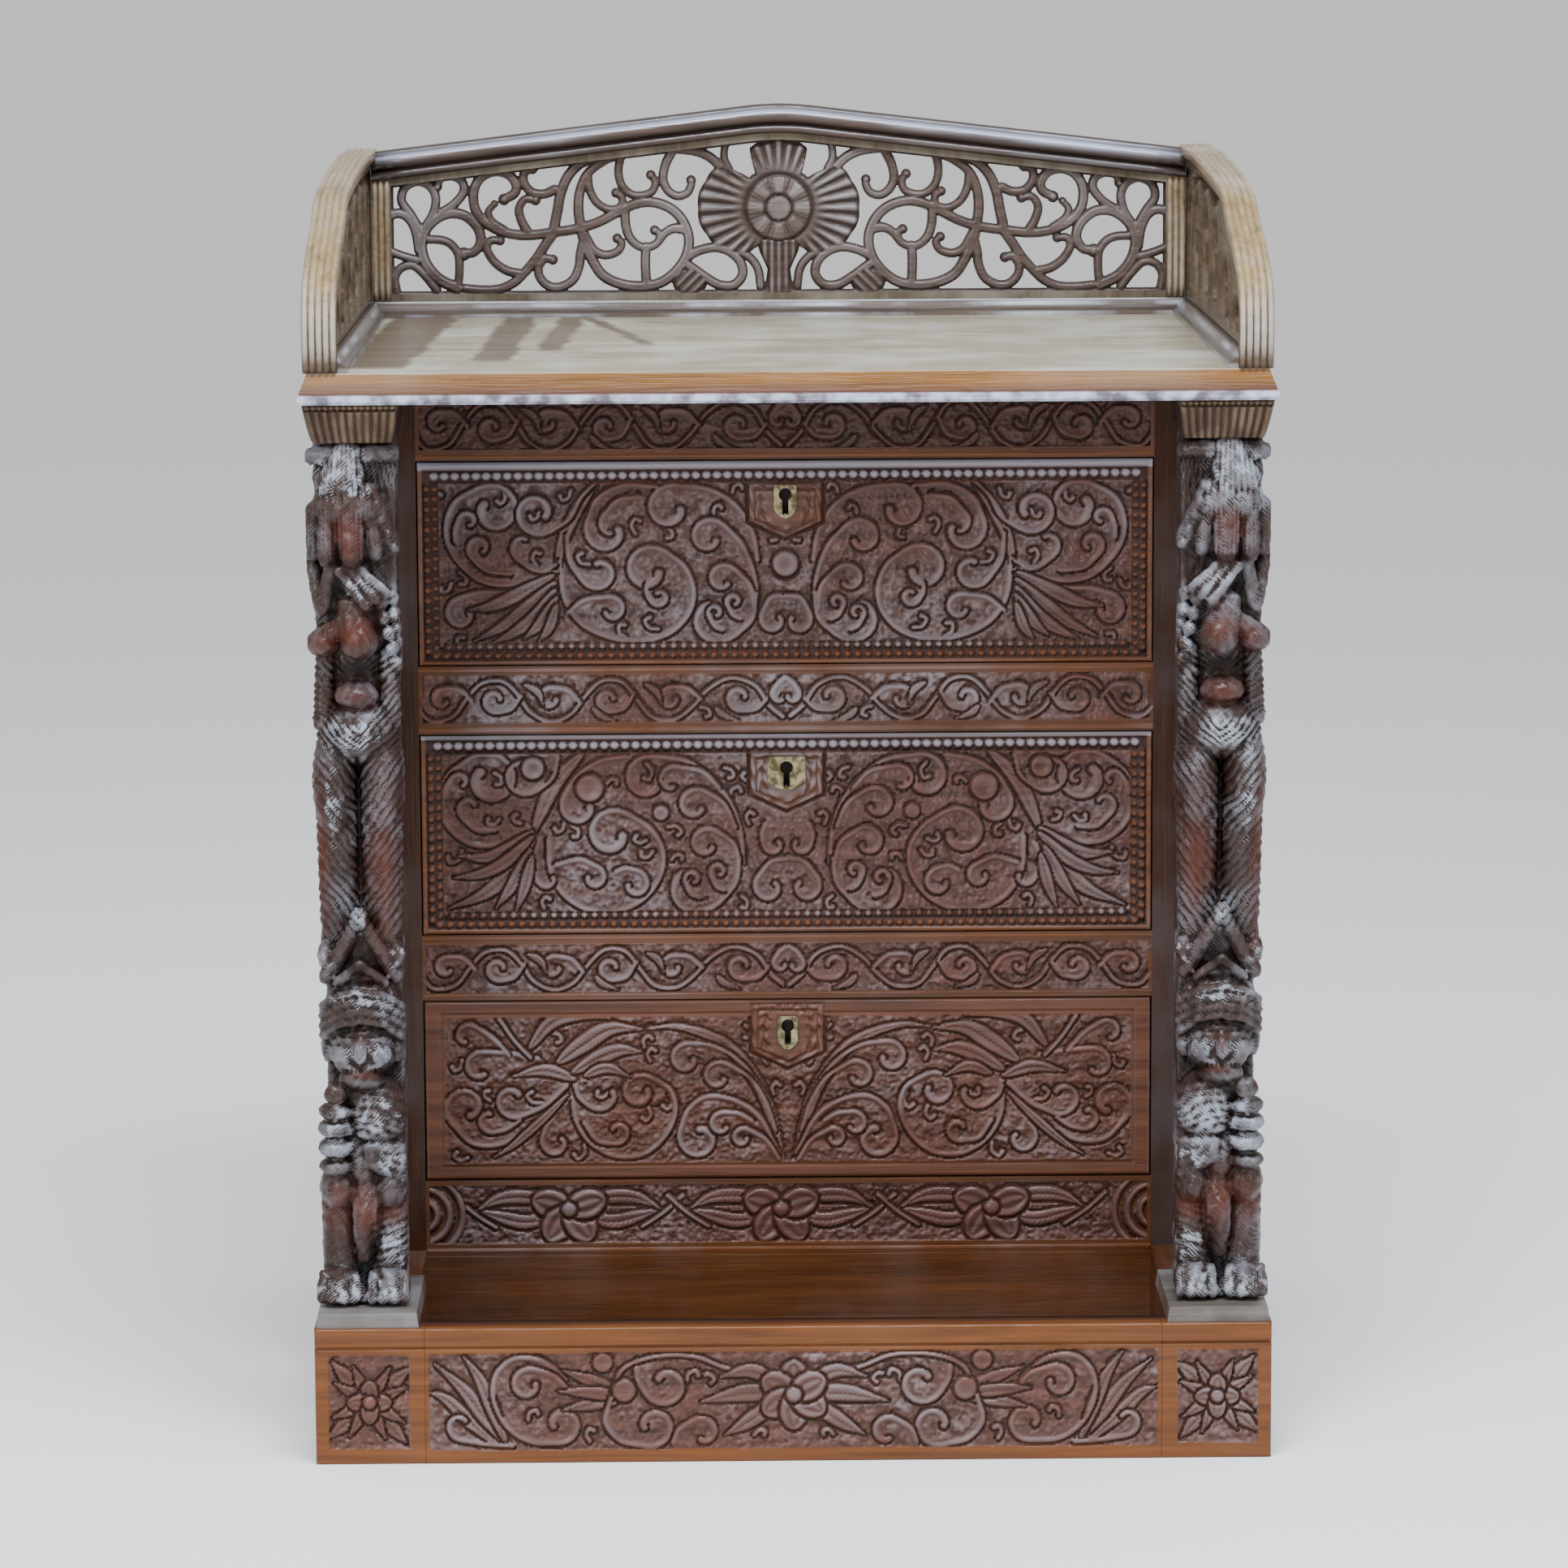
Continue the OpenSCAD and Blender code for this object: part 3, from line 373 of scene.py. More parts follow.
def top_wood():
    """The wood material, with links that change it over the board's height."""
    material = wood("top_wood", "X", deep=rgb(0.10, 0.066, 0.042),
                    polish=rgb(0.36, 0.31, 0.215), warm=rgb(0.190, 0.076, 0.010),
                    haze_and_sheen=rgb(0.50, 0.48, 0.42), height=0.8, coat=0.15)
    tree, layers = material.node_tree, patina_of(material)
    where, (x, y, z) = object_point(tree)
    edge = ramp(tree, z, EDGE_TOP, EDGE_TOP - 0.001)
    dark = math_node(tree, "MULTIPLY", stained(tree, where, x, y), 0.78)
    tree.links.new(math_node(tree, "SUBTRACT", 0.85, dark), layers.inputs["Height"])
    tree.links.new(edge, layers.inputs["Warmth"])
    haze_and_sheen_amount = math_node(tree, "SUBTRACT", 0.75, math_node(tree, "MULTIPLY", edge, 0.62))
    tree.links.new(haze_and_sheen_amount, layers.inputs["Haze And Sheen Amount"])
    # Painted shade: the edge darkens towards the bead below it.
    painted_low_shade = math_node(tree, "MULTIPLY", ramp(tree, z, 0.5605, BEAD_TOP), edge)
    edge_brown_and_shade = math_node(tree, "ADD", math_node(tree, "MULTIPLY", painted_low_shade, 0.70),
                        math_node(tree, "MULTIPLY", edge, 0.12))
    brown = mix_colour(tree, edge_brown_and_shade, layers.outputs["Color"], rgb(0.085, 0.036, 0.026))
    # Painted reflection: the bead is pale blue, broken by darker lilac patches.
    reflection_breaks = ramp(tree, noise(tree, where, 90.0, 3.0), 0.38, 0.60)
    bead_reflection = mix_colour(tree, reflection_breaks, rgb(0.13, 0.115, 0.14), rgb(0.46, 0.49, 0.60))
    bead = ramp(tree, z, BEAD_TOP, BEAD_TOP - 0.0015)
    tree.links.new(mix_colour(tree, bead, brown, bead_reflection),
                   tree.nodes["Principled BSDF"].inputs["Base Color"])
    return material


top_finish = top_wood()
print("top finish ready")


# %% [markdown]
# ## Tools for carving
# A carver draws each scroll as a line and cuts along its outer side with a
# gouge, and on the side that it winds to the wood falls away softly. The same is
# done here: each scroll is a short list of points, and every point of a fine
# grid asks how far it lies from the line. Later strokes lie over earlier ones.

# %% A smooth curve through a few points
def smooth(points, per=7):
    """A Catmull-Rom curve, with so many steps from each point to the next."""
    p = np.asarray(points, float)
    q = np.vstack([2 * p[0] - p[1], p, 2 * p[-1] - p[-2]])
    t = np.linspace(0, 1, per, endpoint=False)[:, None]
    spans = [0.5 * (2 * q[i + 1] + (q[i + 2] - q[i]) * t
                    + (2 * q[i] - 5 * q[i + 1] + 4 * q[i + 2] - q[i + 3]) * t ** 2
                    + (3 * q[i + 1] - q[i] - 3 * q[i + 2] + q[i + 3]) * t ** 3)
             for i in range(len(p) - 1)]
    return np.vstack(spans + [p[-1:]])


# %% Distance from a stroke, as a share of its half width
def near(x, z, curve, half, margin=1.3):
    """Which points lie near the curve, with their share of the half width
    (signed by side), distance along it, and half width there."""
    reach = half.max() * margin + 1.0
    low, high = curve.min(0) - reach, curve.max(0) + reach
    pick = np.nonzero((x > low[0]) & (x < high[0]) & (z > low[1]) & (z < high[1]))[0]
    px, pz = x[pick], z[pick]
    best = np.full(len(pick), 9.0)
    side, along, width = np.zeros(len(pick)), np.zeros(len(pick)), np.ones(len(pick))
    run = 0.0
    for a, b, ha, hb in zip(curve[:-1], curve[1:], half[:-1], half[1:]):
        d = b - a
        length = max(np.hypot(*d), 1e-6)
        t = np.clip(((px - a[0]) * d[0] + (pz - a[1]) * d[1]) / length ** 2, 0, 1)
        ex, ez = px - a[0] - t * d[0], pz - a[1] - t * d[1]
        h = ha + (hb - ha) * t
        u = np.hypot(ex, ez) / h
        closer = u < best
        best = np.where(closer, u, best)
        side = np.where(closer, np.sign(d[0] * ez - d[1] * ex), side)
        along = np.where(closer, run + t * length, along)
        width = np.where(closer, h, width)
        run += length
    return pick, best, side, along, width


# %% The gouge's cut across a stroke
def smoothstep(low, high, value):
    t = np.clip((value - low) / (high - low), 0, 1)
    return t * t * (3 - 2 * t)


def cut(u, side, along, hollow, veins):
    """Height from 0 to 1 across a stroke: a rounded rim with a hollow inside.
    u is 0 on its line and 1 at its edge, and veins is the space between veins."""
    rounded = np.sqrt(np.clip(1 - u ** 2, 0, 1))
    dished = 0.42 + 0.58 * smoothstep(0.1, 0.8, u)
    h = (1 - hollow) * rounded + hollow * dished
    h = h * (1 - 0.10 * (side < 0) * hollow)
    if veins:
        lines = np.abs(np.sin(np.pi * (along / veins + u * 1.6)))
        h = h * (0.78 + 0.22 * lines) - 0.30 * np.exp(-(u / 0.12) ** 2)
    return h * (1 - 0.75 * smoothstep(0.80, 1.0, u))


CUT, CUT_WIDTH = -0.22, 0.9  # the depth, as a height, and the width in mm


def lay(relief, x, z, pick, u, h, width, outer=True):
    """Puts a stroke over what is carved so far, with a cut along its edge, or
    only along the part of its edge that outer picks."""
    inside = u < 1
    relief[pick[inside]] = h[inside]
    gap = (u >= 1) & ((u - 1) * width < CUT_WIDTH) & outer
    relief[pick[gap]] = CUT


def tone_of(relief):
    """The polish's tone at each height: darkest in the cuts and dark on the
    stippled ground, with dirt and painted shade there, and light on the rims that
    hands and dusters reach, with a painted highlight."""
    return np.interp(relief, [CUT, -0.10, 0.2, 0.5, 0.8, 1.0], [0.0, 0.12, 0.38, 0.58, 0.85, 1.0])


def way_round(before, last):
    """1 where a curve turns left from one direction to the next, -1 where right."""
    return np.sign(before[0] * last[1] - before[1] * last[0])


def volute(points, r, turns, tight=0.40):
    """A smooth curve that winds up at its end, from radius r, with no kink."""
    curve = smooth(points)
    steps = round(16 * turns)
    if not steps:
        return curve
    last = curve[-1] - curve[-3]
    turn = way_round(curve[-6] - curve[-9], last)
    heading = math.atan2(last[1], last[0])
    bend = 2 * math.pi * turns / steps
    wound = [curve[-1]]
    for k in range(steps):
        radius = r * (1 - (1 - tight) * (k + 0.5) / steps)
        heading += turn * bend / 2
        wound.append(wound[-1] + radius * bend * np.array([math.cos(heading), math.sin(heading)]))
        heading += turn * bend / 2
    return np.vstack([curve, wound[1:]])


def scroll(relief, x, z, points, r=0.0, turns=0.0, half=1.3):
    """A narrow stem that winds up into a rounded knob. The gouge cuts its outer
    side, and on the side that it winds to it falls away softly to the ground."""
    curve = volute(points, r, turns)
    t = np.linspace(0, 1, len(curve))
    widths = half + (max(0.17 * r, half) + 0.3 - half) * smoothstep(0.86, 1.0, t)
    pick, u, side, along, width = near(x, z, curve, widths, 2.0)
    h = 0.98 * cut(u, side, along, 0.1, 0)
    if not turns:
        lay(relief, x, z, pick, u, h, width)
        return
    winds = way_round(curve[-4] - curve[-6], curve[-1] - curve[-3])
    inner = (side * winds > 0) & (along < along.max() - 1.2 * widths[-1])
    h = np.where(inner, 0.98 - 0.22 * u ** 2, h)
    beyond = (u - 1) * width / 1.4
    slope = inner & (u >= 1) & (beyond < 1) & (relief[pick] == 0)
    relief[pick[slope]] = 0.72 - 0.26 * beyond[slope]
    lay(relief, x, z, pick, u, h, width, ~inner)


def leaf(relief, x, z, points, w, hollow=0.35, veins=3.4):
    """A hollowed leaf with a sunk midrib and slanting veins, w mm across."""
    curve = smooth(points)
    t = np.linspace(0, 1, len(curve))
    half = np.maximum(0.42 * w * (0.35 + 0.65 * np.sin(np.pi * t ** 0.8)) * (1 - 0.75 * t ** 5),
                      0.5)
    pick, u, side, along, width = near(x, z, curve, half)
    lay(relief, x, z, pick, u, cut(u, side, along, hollow, veins), width)


def boss(relief, x, z, centre, r, hollow=0.0):
    """A round knob, or with a hollow a shallow cup."""
    d = np.hypot(x - centre[0], z - centre[1]) / r
    pick = np.nonzero(d < 1.4)[0]
    u = d[pick]
    lay(relief, x, z, pick, u, cut(u, np.ones(len(u)), u, hollow, 0), np.full(len(u), r))


def flower(relief, x, z, centre, r, petals=5, start=90.0, heart=0.28):
    """Round petals that lie over each other, and a boss over their roots."""
    centre = np.asarray(centre)
    for k in range(petals):
        a = math.radians(start + 360.0 * k / petals)
        tip, root = (centre + share * r * np.array([math.cos(a), math.sin(a)])
                     for share in (1.0, 0.15))
        mid = (root + tip) / 2
        curve = smooth([root, mid, tip])
        t = np.linspace(0, 1, len(curve))
        half = np.maximum(r * 0.52 * np.sin(np.pi * (0.12 + 0.76 * t)) ** 0.9, 0.6)
        pick, u, side, along, width = near(x, z, curve, half)
        lines = 0.82 + 0.18 * np.cos(u * 9.0)
        lay(relief, x, z, pick, u, cut(u, side, along, 0.45, 0) * lines, width)
    boss(relief, x, z, centre, r * heart)


print("carving tools ready")

# %% [markdown]
# ## Boards with a carved face
# A carved face starts as a flat grid from bmesh. Its rim is drawn back through
# the board and closed behind, so each carving is a solid. Then the grid's points
# are pushed in where the carver would have cut. Three numbers are kept at each
# point for the polish: its tone, with dirt and painted shade in the cuts and
# painted light by slope, how far it is plain border, and how far it is worn and
# given a painted sheen.


# %% A mesh piece from a bmesh
def finish_piece(name, bm, material, body, flat=False):
    mesh = mesh_from(name, bm)
    piece = placed(name, mesh)
    mesh.materials.append(material)
    mesh.polygons.foreach_set("use_smooth", [not flat] * len(mesh.polygons))
    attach(piece, body)
    return piece


def read_points(mesh, what="co"):
    values = np.empty(len(mesh.vertices) * 3)
    mesh.vertices.foreach_get(what, values)
    return values.reshape(-1, 3)


def write_points(mesh, co):
    mesh.vertices.foreach_set("co", co.reshape(-1))
    mesh.update()


def keep_masks(mesh, relief, border, wear_and_sheen):
    for label, values in (("relief", relief), ("border", border), ("wear_and_sheen", wear_and_sheen)):
        layer = mesh.attributes.new(label, "FLOAT", "POINT")
        layer.data.foreach_set("value", np.clip(values, 0, 1).astype(np.float32))


# %% A moulding swept along a line
def swept(name, loops, material):
    """loops holds the section at every station, in mm. Its ends are closed."""
    stations, count = loops.shape[:2]
    bm = bmesh.new()
    bmesh.ops.create_grid(bm, x_segments=stations - 1, y_segments=count, size=0.5)
    for v in bm.verts:
        place = loops[round((v.co.x + 0.5) * (stations - 1)), round((v.co.y + 0.5) * count) % count]
        v.co = Vector(place) * MM
    bmesh.ops.remove_doubles(bm, verts=bm.verts, dist=1e-7)
    bmesh.ops.holes_fill(bm, edges=open_rim(bm), sides=0)
    bmesh.ops.recalc_face_normals(bm, faces=bm.faces)
    piece = finish_piece(name, bm, material, "chest")
    print(name, len(piece.data.polygons), "faces")
    return piece


# %% Things that every carved field has
def carve_all(relief, x, z, strokes, centre=(0.0, 0.0), scale=(1.0, 1.0)):
    """Carves strokes on the left half, and again mirrored with a small error."""
    tools = {"scroll": scroll, "leaf": leaf, "boss": boss}
    for side in (-1, 1):
        for kind, points, *rest in strokes:
            p = np.atleast_2d(np.asarray(points, float)).copy()
            p += rng.normal(0, 0.5 * (side > 0), 2) * (1, 0.6)
            p[:, 0] *= -side
            p = p * scale + np.asarray(centre)
            tools[kind](relief, x, z, p[0] if kind == "boss" else p, *rest)


def beads(relief, x, z, level, lo, hi, r, pitch, upright=False):
    """A row of round beads along X at one height, or along Z at one place. It
    gives back which points the row takes up."""
    run, across = (z, x) if upright else (x, z)
    count = round((hi - lo) / pitch)
    pitch = (hi - lo) / count
    phase = (run - lo) / pitch
    centre = lo + (np.clip(np.floor(phase), 0, count - 1) + 0.5) * pitch
    d = np.hypot(run - centre, across - level) / r
    band = (np.abs(across - level) < r * 1.1) & (run > lo) & (run < hi)
    relief[band] = np.sqrt(np.clip(1 - d[band] ** 2, 0, 1)) * 0.95
    return band


def blurred(values, columns, reach):
    """A running average along the grid's rows and then its columns."""
    grid = values.reshape(-1, columns)
    for axis in (0, 1):
        total = np.cumsum(np.concatenate([np.take(grid, [0] * (reach + 1), axis), grid,
                                          np.take(grid, [-1] * reach, axis)], axis), axis)
        span = 2 * reach + 1
        far = np.take(total, range(span, total.shape[axis]), axis)
        grid = (far - np.take(total, range(total.shape[axis] - span), axis)) / span
    return grid.reshape(-1)


def columns_of(z):
    """How many points each row of a face's grid has."""
    return int(np.argmax(np.abs(np.diff(z)) > 1e-4)) + 1


def painted_top_light(height, z):
    """Painted light by slope: faces that look up are painted paler and those under
    them darker. A share to add to the tone at each point, above 0 where the face
    looks up."""
    columns = columns_of(z)
    rows = blurred(height, columns, 1).reshape(-1, columns)
    up = -np.gradient(rows, axis=0).reshape(-1) * np.sign(z[-1] - z[0])
    return np.clip(up, -0.22, 0.22)


def stipple(relief, x, z, ground, rough=0.54):
    """The ground swells between the cuts, and is dimpled all over by a punch."""
    columns = columns_of(z)
    cuts = blurred(blurred((relief < -0.05).astype(float), columns, 3), columns, 3)
    fine = blurred(rng.normal(0, 1, len(x)), columns, 1)
    coarse = blurred(rng.normal(0, 1, len(x)), columns, 3)
    swell = 0.56 - 0.90 * cuts
    dimples = rough * (0.55 * fine / fine.std() + 0.45 * coarse / coarse.std()) * 0.42
    relief[ground] = np.clip(swell + dimples, -0.1, 1.0)[ground]


def fill_gaps(relief, x, z, half, low, high, tries):
    """Small commas in the ground that the scrolls leave, mirrored like them."""
    for _ in range(tries * 12):
        cx, cz = rng.uniform(3, half), rng.uniform(low, high)
        close = np.hypot(x - cx, z - cz) < 4.2
        if not close.any() or np.abs(relief[close]).max() > 0.001:
            continue
        a, r = rng.uniform(0, 2 * math.pi), rng.uniform(3.4, 5.6)
        comma = [(r * share * math.cos(a + turn), r * share * math.sin(a + turn))
                 for share, turn in ((1.3, 0), (1.0, 0.8), (0.7, 1.8), (0.2, 2.6))]
        for side in (-1, 1):
            points = [(side * (cx + dx), cz + dz) for dx, dz in comma]
            mask = relief.copy()
            scroll(mask, x, z, points)
            new = (np.abs(relief) < 0.001) & (np.abs(mask) > 0.001)
            relief[new] = mask[new]
        tries -= 1
        if tries == 0:
            break


# %% A carved face on a board
def carved_face(name, box, front_y, design, body, material=None, step=0.72,
                depth=2.2, skin=3.4, proud=0.3, tone=1.0, shape=None, pocket=None):
    """box is x0, x1, z0, z1. design(x, z) gives each point's height above the
    sunk ground (0 to 1), its push from the border's level in mm, and its border
    mask and its mask of wear and painted sheen. It is asked only about the face,
    and the back stays flat. shape moves points of the whole solid, and tone below
    1 makes it darker: dirtier, and on the frieze a painted shadow.
    pocket is the half width, depth and height of a notch in the top of the back,
    made by pushing a strip of the top down before the back is closed."""
    x0, x1, z0, z1 = box
    bm = bmesh.new()
    bmesh.ops.create_grid(bm, x_segments=round((x1 - x0) / step),
                          y_segments=round((z1 - z0) / step), size=0.5)
    rim = open_rim(bm)
    half, deep, tall = pocket or (0, 0, 0)
    for level in (deep / skin - 1, -deep / skin) if pocket else (-1,):
        drawn = bmesh.ops.extrude_edge_only(bm, edges=rim)["geom"]
        bmesh.ops.translate(bm, verts=points_in(drawn), vec=(0, 0, level))
        rim = open_rim(bm)
    if pocket:
        strip = [f for f in bm.faces if f.calc_center_median().z < deep / skin - 1
                 and f.calc_center_median().y > 0.4999
                 and abs(f.calc_center_median().x) * (x1 - x0) < half + 0.4 * step]
        sunk = bmesh.ops.extrude_face_region(bm, geom=strip)["geom"]
        bmesh.ops.translate(bm, verts=points_in(sunk), vec=(0, -tall / (z1 - z0), 0))
        in_the_way = [f for f in bm.faces if f.calc_center_median().z < -0.9999]
        bmesh.ops.delete(bm, geom=strip + in_the_way, context="FACES")
    bmesh.ops.holes_fill(bm, edges=open_rim(bm), sides=0)
    bmesh.ops.recalc_face_normals(bm, faces=bm.faces)
    piece = finish_piece(name, bm, material or carved_finish, body)
    co = read_points(piece.data)
    face = co[:, 2] > -1e-4
    x = x0 + (co[:, 0] + 0.5) * (x1 - x0)
    z = z0 + (co[:, 1] + 0.5) * (z1 - z0)
    height, push, border, wear_and_sheen = design(x[face], z[face])
    y = front_y - skin * co[:, 2]
    y[face] = front_y - proud + depth * (1 - height) + push
    if shape:
        x, y, z = shape(x, y, z)
    write_points(piece.data, np.column_stack([x, y, z]) * MM)
    # The tone carries dirt and painted shade in the cuts, a painted highlight on the rims, and
    # painted light on faces that look up with painted shade under them.
    masks = np.zeros((3, len(co)))
    masks[:, face] = (tone_of(height) + 1.5 * painted_top_light(height, z[face])) * tone, border, wear_and_sheen
    keep_masks(piece.data, *masks)
    print(name, len(piece.data.polygons), "faces")
    return piece


print("carving kit ready")

# %% [markdown]
# ## The drawer fronts
# Each front has a rubbed border and a shield round its keyhole. The upper two
# also have a string of beads inside the border, with a ledge over it that has a
# painted pale highlight, and the back of each has the pocket that its lock sits
# in. The scrollwork mirrors about the keyhole, as a carver pricks one half
# through a folded paper, but no two scrolls are quite the same. The lists give
# each stroke's points from the middle of the front and up from its lower edge. A
# scroll then has the radius at which it starts to wind up, and its turns. A leaf
# has its width, how hollow it is and how far apart its veins are, and a boss its
# radius and how hollow it is.

# %% Scrolls of the top drawer
top_scrolls = [
    ("leaf", [(-103, 98), (-114, 82), (-122, 64), (-125, 42)], 9, 0.2, 6.0),
    ("scroll", [(-123, 56), (-121, 36), (-112, 22), (-96, 14), (-78, 12), (-62, 17), (-52, 28),
                (-50, 41), (-55, 53), (-65, 61)], 14, 0.85),
    ("scroll", [(-119, 28), (-110, 35), (-97, 37)], 8, 0.75),
    ("scroll", [(-76, 43), (-76, 38), (-74, 34)], 5.5, 0.8),
    ("scroll", [(-15, 56), (-18, 72), (-28, 87), (-43, 95), (-60, 97)], 13.5, 0.8),
    ("scroll", [(-15, 30), (-17, 48), (-23, 64), (-33, 75)], 11, 0.85),
    ("scroll", [(-17, 30), (-19, 42), (-27, 51)], 9, 0.8),
    ("scroll", [(-16, 38), (-18, 24), (-27, 15)], 15.5, 0.6),
    ("scroll", [(-35, 18), (-39, 20), (-42, 25)], 4.5, 0.8),
    ("scroll", [(-25, 24), (-29, 26), (-32, 31)], 4.5, 0.8),
    ("scroll", [(-70, 96), (-88, 97), (-102, 90), (-108, 78)], 13, 0.65),
    ("scroll", [(-80, 91), (-91, 89), (-99, 81)], 8, 0.4),
    ("scroll", [(-119, 70), (-118, 56), (-111, 45)], 10.5, 0.75),
    ("scroll", [(-125, 54), (-145, 44), (-165, 45), (-180, 58), (-185, 73), (-180, 88), (-167, 96)],
     15, 0.95),
    ("scroll", [(-150, 49), (-163, 51), (-171, 58)], 7, 0.8),
    ("scroll", [(-180, 67), (-180, 73), (-178, 79)], 5.5, 0.7),
    ("scroll", [(-125, 50), (-137, 51), (-146, 57)], 8, 0.5),
    ("scroll", [(-103, 98), (-111, 90), (-117, 79), (-127, 72)], 13, 0.95),
    ("scroll", [(-148, 39), (-165, 40), (-178, 37)], 9.5, 0.8),
    ("leaf", [(-127, 48), (-146, 38), (-160, 32), (-173, 30)], 10),
    ("leaf", [(-126, 44), (-142, 30), (-154, 21), (-170, 13)], 10),
    ("leaf", [(-126, 40), (-138, 25), (-149, 17), (-160, 12)], 9),
    ("leaf", [(-125, 36), (-134, 22), (-143, 14)], 8),
    ("leaf", [(-125, 32), (-129, 20), (-135, 12)], 7),
    ("scroll", [(0, 37), (-8, 36), (-13, 28)], 8, 0.7),
    ("boss", (0, 53), 7.5, 0.7),
]
print("top drawer strokes:", len(top_scrolls))

# %% Scrolls of the middle drawer
middle_scrolls = [
    ("leaf", [(-112, 99), (-126, 84), (-135, 66), (-141, 50)], 11, 0.2, 6.0),
    ("scroll", [(-131, 52), (-130, 34), (-122, 20), (-108, 12), (-92, 12), (-78, 19), (-69, 32),
                (-68, 46), (-75, 58), (-87, 66)], 14.5, 0.85),
    ("scroll", [(-127, 38), (-114, 41), (-104, 37)], 7, 0.75),
    ("scroll", [(-94, 34), (-89, 36), (-83, 35)], 8.5, 0.75),
    ("scroll", [(-138, 48), (-141, 36), (-137, 28)], 6, 0.5),
    ("scroll", [(-24, 38), (-25, 54), (-30, 70), (-40, 84), (-55, 95), (-73, 98)], 13.5, 0.8),
    ("scroll", [(-37, 80), (-46, 89), (-60, 92)], 8.5, 0.6),
    ("scroll", [(-28, 58), (-34, 71), (-44, 78)], 10, 0.8),
    ("scroll", [(-26, 38), (-29, 49), (-38, 56)], 9.5, 0.8),
    ("scroll", [(-26, 41), (-28, 27), (-37, 16)], 17.5, 0.58),
    ("scroll", [(-48, 19), (-53, 21), (-56, 27)], 5, 0.8),
    ("scroll", [(-35, 23), (-39, 25), (-42, 31)], 5, 0.8),
    ("boss", (-69, 66), 4.5, 0.6),
    ("scroll", [(-88, 98), (-103, 95), (-115, 87), (-122, 77)], 11.5, 0.65),
    ("boss", (-108, 80), 8.0, 0.8),
    ("scroll", [(-141, 58), (-155, 50), (-172, 49), (-185, 58), (-190, 72), (-186, 87),
                (-174, 97)], 16.5, 1.0),
    ("scroll", [(-160, 57), (-170, 57), (-178, 64)], 7, 0.6),
    ("scroll", [(-188, 76), (-187, 81), (-184, 86)], 5.5, 0.6),
    ("scroll", [(-125, 97), (-128, 86), (-136, 79)], 11.5, 0.9),
    ("boss", (-139, 91), 6.5, 0.8),
    ("leaf", [(-140, 56), (-154, 46), (-166, 42), (-180, 43)], 10),
    ("leaf", [(-140, 50), (-152, 34), (-166, 22), (-186, 14)], 11),
    ("leaf", [(-140, 53), (-154, 40), (-168, 33), (-183, 31)], 9),
    ("leaf", [(-141, 46), (-150, 28), (-160, 14)], 9),
    ("leaf", [(-140, 42), (-144, 26), (-149, 12)], 8),
    ("scroll", [(0, 41), (-9, 39), (-16, 31)], 9, 0.75),
    ("scroll", [(-12, 60), (-14, 54), (-13, 48)], 6, 0.6),
]
print("middle drawer strokes:", len(middle_scrolls))

# %% Scrolls of the bottom drawer
bottom_scrolls = [
    ("leaf", [(-3, 8), (-10, 36), (-20, 58), (-36, 76), (-60, 85), (-80, 84)], 9, 0.2, 7.0),
    ("scroll", [(-9, 40), (-16, 52), (-26, 65), (-40, 74), (-54, 76)], 9.5, 0.8),
    ("scroll", [(-7, 26), (-12, 42), (-21, 56), (-33, 64)], 9, 0.8),
    ("scroll", [(-5, 13), (-15, 33), (-28, 43), (-44, 46), (-55, 39), (-60, 27)], 12, 0.85),
    ("scroll", [(-20, 32), (-27, 36), (-35, 37)], 7.5, 0.7),
    ("scroll", [(-5, 10), (-12, 21), (-22, 27)], 6, 0.85),
    ("scroll", [(-119, 51), (-118, 34), (-110, 20), (-96, 12), (-80, 13), (-68, 23), (-62, 37),
                (-65, 50), (-76, 57)], 10.5, 0.9),
    ("scroll", [(-113, 31), (-106, 21), (-96, 19)], 7, 0.75),
    ("scroll", [(-118, 53), (-116, 46), (-111, 41)], 11, 0.45),
    ("scroll", [(-121, 46), (-131, 36), (-136, 24)], 8.5, 0.7),
    ("scroll", [(-122, 52), (-134, 41), (-147, 35)], 10.5, 0.75),
    ("scroll", [(-146, 26), (-160, 19), (-175, 20), (-186, 31)], 12.5, 0.85),
    ("scroll", [(-148, 33), (-155, 28), (-162, 26)], 7.5, 0.6),
    ("leaf", [(-122, 47), (-138, 31), (-152, 19), (-163, 12)], 6),
    ("scroll", [(-138, 68), (-153, 71), (-168, 72)], 9.5, 0.65),
    ("scroll", [(-154, 70), (-163, 80), (-172, 86)], 7.5, 0.6),
    ("scroll", [(-142, 68), (-151, 78), (-159, 90)]),
    ("leaf", [(-118, 56), (-134, 61), (-152, 58)], 9),
    ("leaf", [(-142, 74), (-130, 88), (-114, 92), (-98, 90)], 10, 0.4, 2.6),
    ("leaf", [(-126, 66), (-112, 76), (-98, 84), (-80, 84)], 13, 0.4, 2.6),
    ("leaf", [(-118, 60), (-104, 68), (-92, 72), (-80, 71)], 11, 0.4, 2.6),
    ("leaf", [(-112, 58), (-100, 62), (-87, 57)], 8),
]
print("bottom drawer strokes:", len(bottom_scrolls))


# %% A drawer front's face
FRONT_Y, FRONT_HALF, FIELD_HALF = -36.0, 197.2, 195.5
SHIELD_HALF, SHIELD_SIDE, SHIELD_TIP = 20.0, 15.0, 24.0
BEAD_BAND = 6.4


def near_shield(x, z, key_z):
    """How far inside the shield round a keyhole each point lies, in mm."""
    low = key_z - SHIELD_SIDE - (SHIELD_TIP - SHIELD_SIDE) * (1 - np.abs(x) / SHIELD_HALF)
    return np.minimum(SHIELD_HALF - np.abs(x), z - low)


